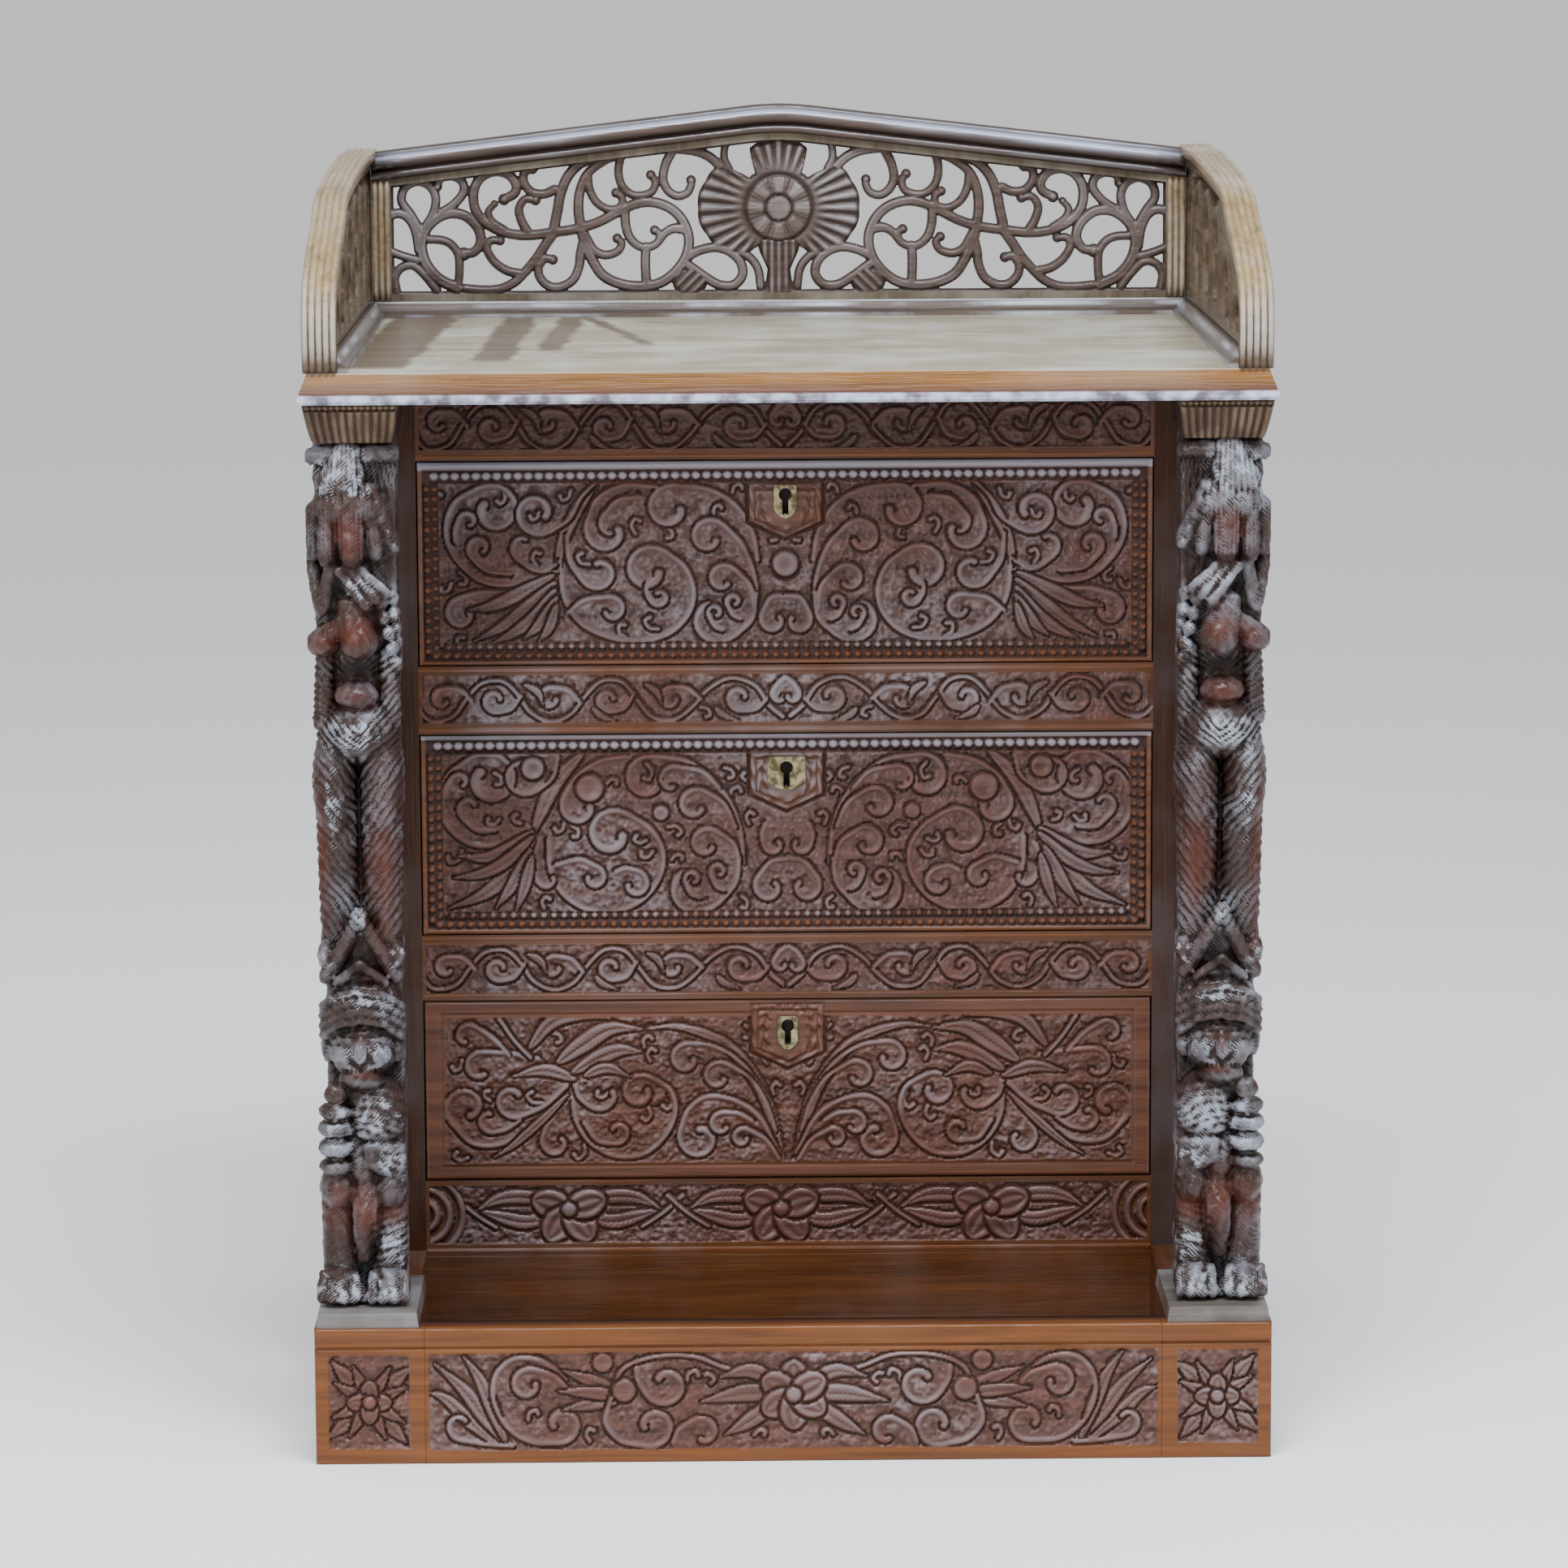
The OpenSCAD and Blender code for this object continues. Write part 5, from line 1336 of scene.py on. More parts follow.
def fret_outline(x, z):
    """The scrolls and the window's rim, with the flower and its stem on them."""
    up = z - TOP_Z
    f, relief = inside_strokes(np.abs(x), up, gallery_scrolls)
    rim = np.minimum(np.minimum(WINDOW_HALF - np.abs(x), up - SILL), slope_up(x) - 4.0 - up)
    edge = 1.3 - rim
    relief = np.where(edge > f, 0.5, relief)
    f = np.maximum(f, edge)
    # The stem, two low leaves, and the flower: ribbed outer petals that reach as
    # far as petal_reach says in each direction, and eight petals round a boss.
    ax = np.abs(x)
    stem = np.interp(up, [12, 26, 36, 43], [8.5, 6.5, 11, 13]) - ax
    stem = np.where(up < 43, stem, -5)
    relief = np.where(stem > f, 0.6 + 0.4 * np.cos(x * 1.55), relief)
    f = np.maximum(f, stem)
    leaf_in = (1 - np.hypot((ax - 51) / 10, (up - 19) / 8)) * 8
    relief = np.where(leaf_in > f, 0.5 + 0.3 * np.cos(ax + up), relief)
    f = np.maximum(f, leaf_in)
    turn = np.degrees(np.arctan2(up - HEART_UP, ax))
    heart = np.hypot(x, up - HEART_UP)
    petal_in = np.interp(turn, *petal_reach) + 1.2 * np.abs(np.sin(np.radians(turn * 9))) - heart
    ribs = 0.55 + 0.4 * np.cos(np.radians(turn * 36)) * smoothstep(20, 30, heart)
    relief = np.where(petal_in > f, ribs * smoothstep(18.5, 22, heart), relief)
    f = np.maximum(f, petal_in)
    inner = 0.72 + 0.28 * np.cos(np.radians(turn * 8)) + 0.12 * np.cos(np.radians(turn * 40))
    relief = np.where(heart < 19, inner * smoothstep(7, 10, heart) * smoothstep(19.2, 17, heart),
                      relief)
    relief = np.where(heart < 6.8, 1.0 - (heart / 9) ** 4, relief)
    f = np.minimum(f, rim + 2.5)
    return f, relief


def fret_place(x, z, front, f, relief):
    rise = smoothstep(-0.2, 2.2, f)
    bulge = np.clip(1 - np.hypot(x / 34, (z - TOP_Z - HEART_UP) / 30) ** 2, 0, 1)
    y_front = FRET_Y - (HALF_FRET + 2.9 * rise * (0.3 + 0.7 * relief) + 2.6 * bulge)
    y_back = FRET_Y + HALF_FRET + 1.9 * rise
    return np.column_stack([x, np.where(front, y_front, y_back), z])


fret = pierced_board("gallery_scrollwork", (-222.5, 222.5, TOP_Z + 11, TOP_Z + 104),
                     fret_outline, fret_place, gallery_finish, 0.8)
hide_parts("gallery_fret")

# %% [markdown]
# A moulded rail crowns the back. It was planed as two straight lengths that
# meet in a low bend, so one section is swept along that line here: a thin lip,
# a broad round nose that takes the light, a hollow and a bead under it. The
# height above the line then sets each part's tone and pale sheen: a painted
# highlight along the nose and a painted shade in the hollow.

# %% The crest rail
CREST_R, CREST_SLOPE = 150.0, math.atan(BEND_HEIGHT / GALLERY_HALF)
BEND_Z = TOP_Z + END_HEIGHT + BEND_HEIGHT - CREST_R / math.cos(CREST_SLOPE)


def crest_line(x):
    """Height and slope of the crest rail's lower face."""
    if abs(x) > CREST_R * math.sin(CREST_SLOPE):
        return TOP_Z + slope_up(x), -math.copysign(CREST_SLOPE, x)
    return BEND_Z + math.sqrt(CREST_R ** 2 - x ** 2), -math.asin(x / CREST_R)


def arc(cy, cz, r, a0, a1, count=8):
    """Points of a round part of a section, in depth and height."""
    angles = np.radians(np.linspace(a0, a1, count))
    return [(cy + r * math.cos(a), cz + r * math.sin(a)) for a in angles]


crest_section = ([(194.4, 0), (206.0, 0)] + [(208.8, 3), (208.8, 14), (205, 16.3)]
                 + [(193.6, 16.3), (192.2, 15.4), (191.6, 14.2)]
                 + arc(194.2, 9.6, 4.2, 105, 262) + [(194.2, 4.9)]
                 + arc(193.4, 2.4, 2.3, 80, 265, 7))
spots = np.concatenate([np.linspace(-232.4, -20, 12), np.linspace(-17, 17, 13),
                        np.linspace(20, 232.4, 12)])
loops = np.empty((len(spots), len(crest_section), 3))
for i, x in enumerate(spots):
    base, lean = crest_line(x)
    lean = lean if 0 < i < len(spots) - 1 else 0.0
    for j, (y, h) in enumerate(crest_section):
        loops[i, j] = x - h * math.sin(lean), y, base + h * math.cos(lean) * (
            1 if lean else 1 / math.cos(CREST_SLOPE))
crest = swept("gallery_crest_moulding", loops, crest_finish)
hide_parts("gallery_crest_rail")
x, _, z = (read_points(crest.data) / MM).T
line = np.array([crest_line(a) for a in x])
rise = (z - line[:, 0]) * np.cos(line[:, 1])
# Painted highlight on the upper nose, painted shade in the hollow under it.
keep_masks(crest.data,
           np.interp(rise, [0, 1.2, 2.6, 4.4, 5.2, 7.5, 10.5, 13.2, 15.2, 16.3],
                     [0.25, 0.6, 0.65, 0.1, 0.15, 0.5, 0.85, 1.0, 0.85, 0.2]), 0 * x,
           np.interp(rise, [1, 3, 5, 8, 11.5, 14, 15.4, 16.2], [0.5, 0.5, 0, 0.2, 1, 1, 0.8, 0.1]))

# %% Reeds on the uprights beside the fret
REED, REED_RISE, REED_Y, REED_X = 3.5, 1.7, 195.3, 221.8
across = np.linspace(0, 3 * REED, 25)
for side, word in ((-1, "left"), (1, "right")):
    loops = np.empty((10, 27, 3))
    loops[:, :25, 0] = side * (REED_X + across)
    loops[:, 25:, 0] = side * (REED_X + 3 * REED), side * REED_X
    loops[:, :25, 1] = REED_Y - REED_RISE * np.abs(np.sin(np.pi * across / REED)) ** 0.6
    loops[:, 25:, 1] = REED_Y + 1.2
    loops[:, :, 2] = np.linspace(TOP_Z + 9.5, TOP_Z + 77.8, 10)[:, None]
    reeds = swept("gallery_" + word + "_reeds", loops, side_finish)
    y = read_points(reeds.data)[:, 1] / MM
    # The tone follows each reed's height: dirt and painted shade in the grooves between them.
    keep_masks(reeds.data, (REED_Y - y) / REED_RISE, 0.3 + 0 * y, 0.35 + 0 * y)

# %% [markdown]
# The gallery's sides are thicker. Their upper edge sweeps up from the front
# corner, and a cap of five reeds runs all the way along it.

# %% The gallery's sides
SIDE_X, SIDE_BACK = 240.0, 209.0
side_rise = [(3, 0), (1, 0.26), (10, 0.46), (44, 0.63), (85, 0.76), (118, 0.88), (165, 0.93),
             (216, 0.96), (300, 1), (340, 1), (399, 1)]
side_curve = smooth([(-190 + a, TOP_Z + 96 * b) for a, b in side_rise], 9)
side_scrolls = [
    ([(18, 6), (40, 30), (70, 34), (84, 18), (66, 8), (54, 18)], 6, 4.5, 3.4),
    ([(90, 6), (96, 34), (120, 52), (146, 42), (144, 20), (124, 18), (122, 32)], 6, 4.5, 3.4),
    ([(150, 6), (168, 22), (160, 48), (176, 68), (200, 66), (208, 46), (192, 34),
      (182, 46)], 6, 4.5, 3.4),
    ([(206, 6), (224, 20), (222, 46), (232, 68), (256, 74), (270, 54), (256, 38),
      (244, 48)], 6, 4.5, 3.4),
    ([(262, 6), (284, 12), (292, 32), (284, 56), (300, 76), (322, 70), (326, 48),
      (310, 40), (303, 52)], 6, 4.5, 3.4),
    ([(318, 6), (336, 18), (342, 40), (336, 60), (350, 76), (366, 66)], 6, 4.5, 3.4),
    ([(60, 36), (88, 50), (110, 56), (134, 60), (170, 74)], 6, 4.5, 3.4),
    ([(100, 6), (128, 14), (150, 10), (168, 16), (196, 8), (222, 16), (250, 8), (276, 16),
      (300, 10), (340, 14)], 6, 4.5, 3.4),
]


def side_depth(y, z):
    """Distance inside the side's outline: under its curve, above the table."""
    pick, u, side, _, width = near(y, z, side_curve, np.full(len(side_curve), 400.0), 1.0)
    d = np.full(len(y), -5.0)
    d[pick] = u * width * np.where(side < 0, 1, -1)
    return np.minimum(np.minimum(d, SIDE_BACK - y), z - TOP_Z)


def side_outline(y, z):
    """The scrolls, and the frame of plain wood round them."""
    whole = side_depth(y, z) - 1.5
    f, relief = inside_strokes(y + 177.0, z - TOP_Z, side_scrolls)
    frame_in = 13.0 - whole
    relief = np.where(frame_in > f, 0.8, relief)
    f = np.maximum(f, frame_in)
    return np.minimum(f, whole), relief


def side_place(sign):
    """The board is rounded over on both faces."""
    def place(y, z, front, f, relief):
        rise = smoothstep(-0.2, 2.5, f)
        half = 4.4 + 2.9 * rise * (0.35 + 0.65 * relief)
        x = sign * (SIDE_X + np.where(front, half, -half))
        return np.column_stack([x, y, z])
    return place


def reeded_cap(name, sign):
    """The moulding along a side's edge: five reeds swept up its curve. It
    overhangs the board a little on the inside."""
    ahead = np.gradient(side_curve, axis=0)
    ahead /= np.linalg.norm(ahead, axis=1)[:, None]
    out = np.column_stack([-ahead[:, 1], ahead[:, 0]])
    inner, outer, reed = -10.6, 7.4, 3.6
    across = np.linspace(inner, outer, 46)
    turn = np.pi * (across - inner) / reed
    reeds = 1.5 * np.abs(np.sin(turn)) ** 0.5 - 1.6
    reeds -= 1.3 * smoothstep(0.5, 0, np.minimum(across - inner, outer - across) / 2)
    across = np.concatenate([across, [outer, inner]])
    lift = np.concatenate([reeds, [-6.0, -6.0]])
    loops = np.empty((len(side_curve), len(across), 3))
    loops[:, :, 0] = sign * (SIDE_X + across)
    loops[:, :, 1] = side_curve[:, 0, None] + out[:, 0, None] * lift
    loops[:, :, 2] = np.maximum(side_curve[:, 1, None] + out[:, 1, None] * lift, TOP_Z)
    piece = swept(name, loops, side_finish)
    x, _, z = (read_points(piece.data) / MM).T
    up = z - TOP_Z
    # The grooves between the reeds get dirt and painted shade, less higher up, and the tone darkens
    # towards the cap's foot.
    groove = np.interp(np.mod(sign * x - SIDE_X - inner, reed), [0, 0.6, 3.0, 3.6],
                       [0.0, 1, 1, 0.0])
    groove = 1 - (1 - groove) * (0.9 - 0.5 * smoothstep(30, 70, up))
    relief = groove * smoothstep(-6, 16, up)
    keep_masks(piece.data, relief, 0.75 * smoothstep(16, 50, up),
               0.92 - 0.55 * smoothstep(30, 64, up))


for sign, word in ((-1, "left"), (1, "right")):
    reeded_cap("gallery_side_" + word + "_cap", sign)
    board = pierced_board("gallery_side_" + word + "_scrollwork",
                          (-192, 212, TOP_Z - 1, TOP_Z + 99), side_outline,
                          side_place(sign), side_finish, 1.0)
    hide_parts("gallery_side_" + word)


# %% [markdown]
# ## The lion columns
# Each column is one piece of timber cut right round. It is built as a sculptor
# blocks it out: simple forms are placed for every part of the figure, melted
# into one skin, and the skin is then tooled with feathers, scales and flutes.
# How each point lies against its neighbours says where dirt and painted shade
# darken it and where the wood is rubbed silver with a painted sheen. Points are
# across from the column's middle, forward from its board, and up from its plinth.

# %% Blocking out
def ball(bm, p, r):
    place = Matrix.Translation(p) @ Matrix.Diagonal((*r, 1.0))
    fine = 3 if max(r) > 9 else 2
    bmesh.ops.create_icosphere(bm, subdivisions=fine, radius=1.0, matrix=place)


def limb(bm, a, ra, b, rb):
    """A tapered rod with round ends."""
    a, b = Vector(a), Vector(b)
    turn = (b - a).to_track_quat("Z", "Y").to_matrix().to_4x4()
    bmesh.ops.create_cone(bm, cap_ends=True, segments=20, radius1=ra, radius2=rb,
                          depth=(b - a).length,
                          matrix=Matrix.Translation((a + b) / 2) @ turn)
    ball(bm, a, (ra, ra, ra))
    ball(bm, b, (rb, rb, rb))


def block_out_post(bm):
    """What is left of the square timber behind the figure."""
    for x0, x1, z0, z1, y in ((-21, 21, 0, 76, 18), (-21, 19, 76, 186, 24),
                              (-20, 17, 186, 250, 26), (-21, 21, 250, 449, 28)):
        place = (Matrix.Translation(((x0 + x1) / 2, y / 2, (z0 + z1) / 2))
                 @ Matrix.Diagonal((x1 - x0, y, z1 - z0, 1.0)))
        bmesh.ops.create_cube(bm, size=1.0, matrix=place)


def block_out_legs(bm):
    for s in (-1, 1):
        limb(bm, (s * 13, 30, 58), 10, (s * 13, 36, 16), 9)
        ball(bm, (s * 13, 29, 58), (10.5, 18, 14))
        ball(bm, (s * 13, 42, 8), (11, 17, 11))
        for i in (-1.5, -0.5, 0.5, 1.5):
            limb(bm, (s * 13 + i * 5.1, 49, 15), 3.1, (s * 13 + i * 5.5, 59 - abs(i) * 1.5, 4.5),
                 3.3)
    limb(bm, (-1, 38, 60), 6, (-1, 45, 46), 7)
    limb(bm, (-1, 45, 46), 7, (0, 43, 24), 4.2)
    ball(bm, (0, 46, 5), (3.6, 9, 6))


def block_out_trunk(bm):
    ball(bm, (-1, 22, 90), (20.5, 19, 32))
    ball(bm, (-7, 30, 98), (16, 19, 20))
    ball(bm, (14, 43, 110), (6.0, 6.5, 6.0))
    for z, r in ((100, 4.6), (91.5, 5.2), (81, 5.6), (71, 4.6)):
        ball(bm, (14, 38, z), (9.4, 12, r))
    for lift in (0, 5, 10, 15):
        limb(bm, (-3, 46, 82 - lift * 0.5), 2.9, (-19, 39, 80 - lift * 1.05), 3.6)
    ball(bm, (0, 34, 72), (9, 13, 14))


def block_out_head(bm):
    ball(bm, (0, 30, 133), (17.5, 20, 19))
    ball(bm, (0, 41, 118), (12, 9, 6))
    limb(bm, (-9, 47, 126), 1.5, (0, 49.5, 121.5), 1.7)
    limb(bm, (9, 47, 126), 1.5, (0, 49.5, 121.5), 1.7)
    limb(bm, (-8, 46, 119), 1.5, (8, 46, 119), 1.5)
    limb(bm, (0, 48.5, 141), 1.6, (0, 51.5, 131), 3.4)
    for s in (-1, 1):
        ball(bm, (s * 9.5, 43, 130.5), (6.8, 7, 6.2))
        ball(bm, (s * 6.8, 45, 140), (3.6, 3.0, 2.0))
        ball(bm, (s * 17.5, 26, 132), (4.5, 8, 9))


def block_out_hat(bm):
    ball(bm, (0, 30, 158), (19, 14, 13))
    ball(bm, (0, 14, 178), (18, 16, 30))
    for s in (-1, 1):
        for drop in (0, 5.2, 10.4, 15.6):
            limb(bm, (0, 48, 165 - drop), 1.9, (s * 12, 43, 162 - drop), 2.1)
            limb(bm, (s * 12, 43, 162 - drop), 2.1, (s * 20.5, 33, 154.5 - drop), 2.5)
        limb(bm, (0, 43, 178), 2.6, (s * 12, 38, 168), 2.6)
        limb(bm, (0, 40, 202), 3.6, (s * 18, 31, 170), 4.6)
        ball(bm, (s * 18.5, 30, 181), (4.6, 8, 8))
    ball(bm, (0, 42, 202), (4.4, 5.5, 7.0))


def block_out_wings(bm):
    ball(bm, (-1, 28, 298), (20, 23, 18))
    for s in (-1, 1):
        ball(bm, (s * 12, 25, 272), (12, 22, 34))
        limb(bm, (s * 11, 28, 262), 11.5, (s * 12, 24, 192), 9.0)
        limb(bm, (s * 12, 24, 192), 9.0, (s * 15, 22, 178), 7.0)


def block_out_mask(bm):
    ball(bm, (0, 14, 344), (19, 18, 48))
    ball(bm, (0, 38, 318.5), (11.5, 11, 7.2))
    limb(bm, (3, 41, 364), 6.5, (-2, 43, 347), 10)
    limb(bm, (10, 39, 353), 5, (19, 35, 345), 6.8)
    ball(bm, (16, 33, 346), (8, 11, 8))
    for k in range(5):
        share = k / 4
        ball(bm, (-13 - 8 * share, 38 - 5 * share, 366 - 32 * share), (4.0, 4.2, 3.8))
        ball(bm, (-19 - 3 * share, 33 - 4 * share, 368 - 32 * share), (3.6, 4.0, 3.8))
    for s in (-1, 1):
        limb(bm, (s * 16.5, 30, 339), 4.4, (s * 17.5, 32, 304), 5.4)
    for k in range(3):
        limb(bm, (8 - 4.5 * k, 46 - k, 384 + k), 2.3, (-6 - 5 * k, 46 - 3 * k, 365 + 3 * k), 2.7)
    limb(bm, (23, 30, 390), 3.2, (17, 38, 363), 4.2)
    limb(bm, (12, 40, 388), 3.4, (16, 38, 364), 4.0)


def block_out_drop(bm):
    limb(bm, (3, 38, 443), 7.5, (6, 37, 428), 12.5)
    ball(bm, (3, 34, 416), (19, 16, 13))
    ball(bm, (0, 14, 410), (19, 17, 46))
    limb(bm, (2, 43, 419), 7.5, (1, 46, 390), 5.8)
    limb(bm, (13, 41, 417), 5.2, (14, 42, 389), 4.2)
    limb(bm, (21, 35, 414), 4.2, (21, 36, 391), 3.6)
    limb(bm, (-8, 41, 424), 4.4, (-20, 35, 396), 4.6)
    limb(bm, (-9, 38, 412), 4.4, (-11, 40, 391), 3.8)
    for k in range(5):
        share = k / 4
        ball(bm, (-9 - 12 * share, 45 - 6 * share, 424 - 30 * share), (2.4, 2.4, 2.4))
    limb(bm, (11, 34, 443), 4.2, (21, 31, 441), 4.8)
    limb(bm, (-6, 36, 443), 4.4, (-20, 31, 442), 5.0)


# %% Tooling the skin
def tooled(x, y, z):
    """How far the carver's tools raise or lower the skin at each point."""
    move = np.zeros(len(x))
    front = smoothstep(8, 22, y)
    wander = 0.9 * np.sin(z * 0.19 + x * 0.2) + 0.5 * np.sin(z * 0.53)
    wing = smoothstep(188, 194, z) * (1 - smoothstep(284, 292, z)) * front
    share = np.mod((z - 1.35 * np.abs(x) + wander) / 6.2, 1.0)
    feather = smoothstep(0.0, 0.22, share) * (1 - 0.85 * share)
    move += wing * 1.7 * (feather - 0.45)
    move -= wing * 1.2 * np.exp(-(x / 1.3) ** 2)
    scale_a = np.cos(2 * np.pi * (z - 0.9 * np.abs(x + 2 * np.sin(z * 0.11)) + wander) / 4.3)
    scaled = (smoothstep(288, 294, z) * (1 - smoothstep(334, 340, z))
              * smoothstep(11, 14, np.hypot(x, (z - 318) * 0.9)) * front)
    move += scaled * 0.55 * scale_a
    neck = smoothstep(416, 424, z) * (1 - smoothstep(438, 440, z) * (np.abs(x - 3) > 8)) * front
    move += neck * 0.5 * np.cos(2 * np.pi * (x - 4) / (2.2 + (449 - z) * 0.035))
    lobes = smoothstep(386, 392, z) * (1 - smoothstep(412, 420, z)) * front * (x > -8)
    move += lobes * 0.3 * np.cos(2 * np.pi * x / 2.3)
    chest = smoothstep(84, 88, z) * (1 - smoothstep(110, 114, z)) * front * (x < 5)
    move += chest * 0.3 * np.cos(2 * np.pi * (z + 0.02 * x ** 2 + wander) / 4.6)
    arm = smoothstep(66, 68, z) * (1 - smoothstep(104, 106, z)) * front * (x > 5)
    move += arm * 0.16 * np.cos(2 * np.pi * z / 2.6)
    eyes = np.exp(-(((np.abs(x) - 7.0) / 3.8) ** 2 + ((z - 141.0) / 1.0) ** 2)) * front
    move -= 1.9 * eyes
    teeth = np.exp(-((z - 123.0) / 1.2) ** 2) * (np.abs(x) < 8) * front
    move -= teeth * (0.8 + 0.6 * np.cos(2 * np.pi * x / 2.6))
    shins = smoothstep(16, 20, z) * (1 - smoothstep(44, 50, z)) * front * (x < -4)
    move += shins * 0.35 * np.cos(2 * np.pi * (z + 0.3 * x) / 4.2)
    cloth = np.exp(-((np.abs(x + 1) - 5.2) / 0.9) ** 2) * smoothstep(28, 34, z) * (z < 56)
    move += cloth * 0.7 * smoothstep(38, 42, y)
    # Nothing is quite smooth: short chisel facets, and swellings left by the knife.
    facet = np.sin(x * 0.8 + 2.0 * np.sin(z * 0.21)) * np.sin(z * 0.6 + 1.7 * np.sin(x * 0.3))
    facet += 0.5 * np.sin(x * 1.5 + y * 1.1 + z * 0.6) * np.sin(z * 1.3 - y * 0.7)
    move += front * (1 - 0.7 * wing) * 0.30 * np.clip(facet, -0.7, 1.0)
    return move


def zone(co, centre, size):
    """1 near a centre given by X and Z, fading over a size."""
    d = ((co[:, 0] - centre[0]) / size[0]) ** 2 + ((co[:, 2] - centre[1]) / size[1]) ** 2
    return np.exp(-d)


def figure_tones(co):
    """Where the figure's polish is red, where it is worn to silver with a painted
    sheen, and where a painted shade darkens its recesses, such as the mouth, the
    eyes and the gap between the legs."""
    warm = sum(zone(co, *place) for place in (
        ((3, 402), (10, 12)), ((0, 352), (11, 9)), ((17, 345), (9, 7)), ((0, 318), (11, 6)),
        ((-12, 232), (8, 36)), ((20, 236), (4, 44)), ((14, 50), (10, 13)),
        ((-1, 50), (6, 14)), ((0, 134), (3, 5)), ((-14, 46), (8, 6)), ((0, 121), (7, 2))))
    wear_and_sheen = 0.30 + sum(zone(co, *place) for place in (
        ((5, 436), (20, 20)), ((-3, 375), (10, 8)), ((-18, 350), (6, 18)), ((0, 300), (16, 10)),
        ((14, 262), (7, 24)), ((0, 204), (6, 8)), ((18, 180), (6, 8)), ((-18, 180), (6, 8)),
        ((0, 160), (18, 7)), ((0, 131), (17, 8)), ((-7, 98), (13, 15)), ((14, 90), (8, 17)),
        ((-14, 74), (8, 8)), ((0, 8), (28, 11)), ((-16, 28), (8, 10))))
    wear_and_sheen = 0.85 * wear_and_sheen * (1 - 0.6 * np.clip(warm, 0, 1))
    # Painted shade in the recesses.
    dark = sum(zone(co, *place) for place in (
        ((0, 331), (13, 6)), ((0, 176), (7, 5)), ((7, 144), (6, 3)), ((-7, 144), (6, 3)),
        ((1, 388), (18, 3)), ((-4, 30), (4, 14)), ((-12, 120), (9, 3))))
    return np.clip(warm, 0, 1) * 0.9, np.clip(wear_and_sheen, 0, 1), 1 - 0.85 * np.clip(dark, 0, 1)


# %% One column
COLUMN_X, BOARD_Y, PLINTH_Z = 223.0, -136.0, 80.0
FIGURE_LOW, FIGURE_HIGH = (-23.6, 0.0, 0.0), (24.8, 64.5, 449.0)


def averaged(mesh, values, rounds):
    """Each point's values after so many rounds of averaging with the points
    that it is joined to."""
    ends = np.empty(len(mesh.edges) * 2, int)
    mesh.edges.foreach_get("vertices", ends)
    a, b = ends.reshape(-1, 2).T
    size = len(values)
    count = np.maximum(np.bincount(a, minlength=size) + np.bincount(b, minlength=size), 1)
    for _ in range(rounds):
        total = [np.bincount(a, column[b], size) + np.bincount(b, column[a], size)
                 for column in values.T]
        values = np.column_stack(total) / count[:, None]
    return values


def hollow_mask(mesh, co, rounds=3):
    """How far in mm each point stands out from the average of those round it:
    below 0 in the hollows and above 0 on the ridges."""
    return ((co - averaged(mesh, co, rounds)) * read_points(mesh, "normal")).sum(1)


def carved_figure():
    """The finished skin of a figure, in the column's own frame."""
    parts = []
    for build in (block_out_post, block_out_legs, block_out_trunk, block_out_head,
                  block_out_hat, block_out_wings, block_out_mask, block_out_drop):
        bm = bmesh.new()
        build(bm)
        parts.append(mesh_from("part", bm))
    bm = bmesh.new()
    for part in parts:
        bm.from_mesh(part)
    blank = placed("blank", mesh_from("blocked_out", bm))
    parts.append(blank.data)
    melt = blank.modifiers.new("melt", "REMESH")
    melt.mode, melt.voxel_size, melt.adaptivity = "VOXEL", 1.14, 0.0
    skin = bpy.data.meshes.new_from_object(
        blank.evaluated_get(bpy.context.evaluated_depsgraph_get()))
    bpy.data.objects.remove(blank)
    for mesh in parts:
        bpy.data.meshes.remove(mesh)
    co = read_points(skin)
    rough = averaged(skin, rng.normal(0, 1, (len(co), 1)), 5)[:, 0]
    rough /= rough.std()
    co = co + read_points(skin, "normal") * (tooled(*co.T) + 0.16 * rough)[:, None]
    co = np.clip(co, FIGURE_LOW, FIGURE_HIGH)
    write_points(skin, co)
    warm, wear_and_sheen, outside_painted_shade = figure_tones(co)
    # Hollows get dirt and painted shade, ridges wear and a painted highlight.
    fine = smoothstep(-0.40, 0.32, hollow_mask(skin, co))
    broad = smoothstep(-1.3, 0.9, hollow_mask(skin, co, 14))
    neck = zone(co, (6, 434), (18, 18))
    relief = (0.65 * fine + 0.55 * broad - 0.02 + 0.05 * rough + 0.4 * neck) * outside_painted_shade
    keep_masks(skin, np.clip(relief, 0, 1), warm, np.clip(wear_and_sheen * (1 + 0.25 * rough), 0, 1))
    return skin


def lion_column(skin, side, word):
    bm = bmesh.new()
    bm.from_mesh(skin)
    for v in bm.verts:
        x, y, z = v.co
        v.co = Vector((side * (COLUMN_X + x), BOARD_Y - y, PLINTH_Z + z)) * MM
    bmesh.ops.recalc_face_normals(bm, faces=bm.faces)
    piece = finish_piece("lion_" + word + "_figure", bm, figure_finish, "chest")
    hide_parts("lion_" + word)
    print(piece.name, len(piece.data.polygons), "faces")


figure_skin = carved_figure()
lion_column(figure_skin, -1, "left")
lion_column(figure_skin, 1, "right")
bpy.data.meshes.remove(figure_skin)

# %% [markdown]
# ## Keyhole plates
# Each plate is thin brass let into the shield, with a keyhole pierced through
# it and a pin at its corners. The outline and the hole are drawn as two loops
# of edges, filled between, and given thickness with a softened rim.


# %% Brass keyhole plates
PLATE_Y, PLATE_THICK = -35.6, 1.3


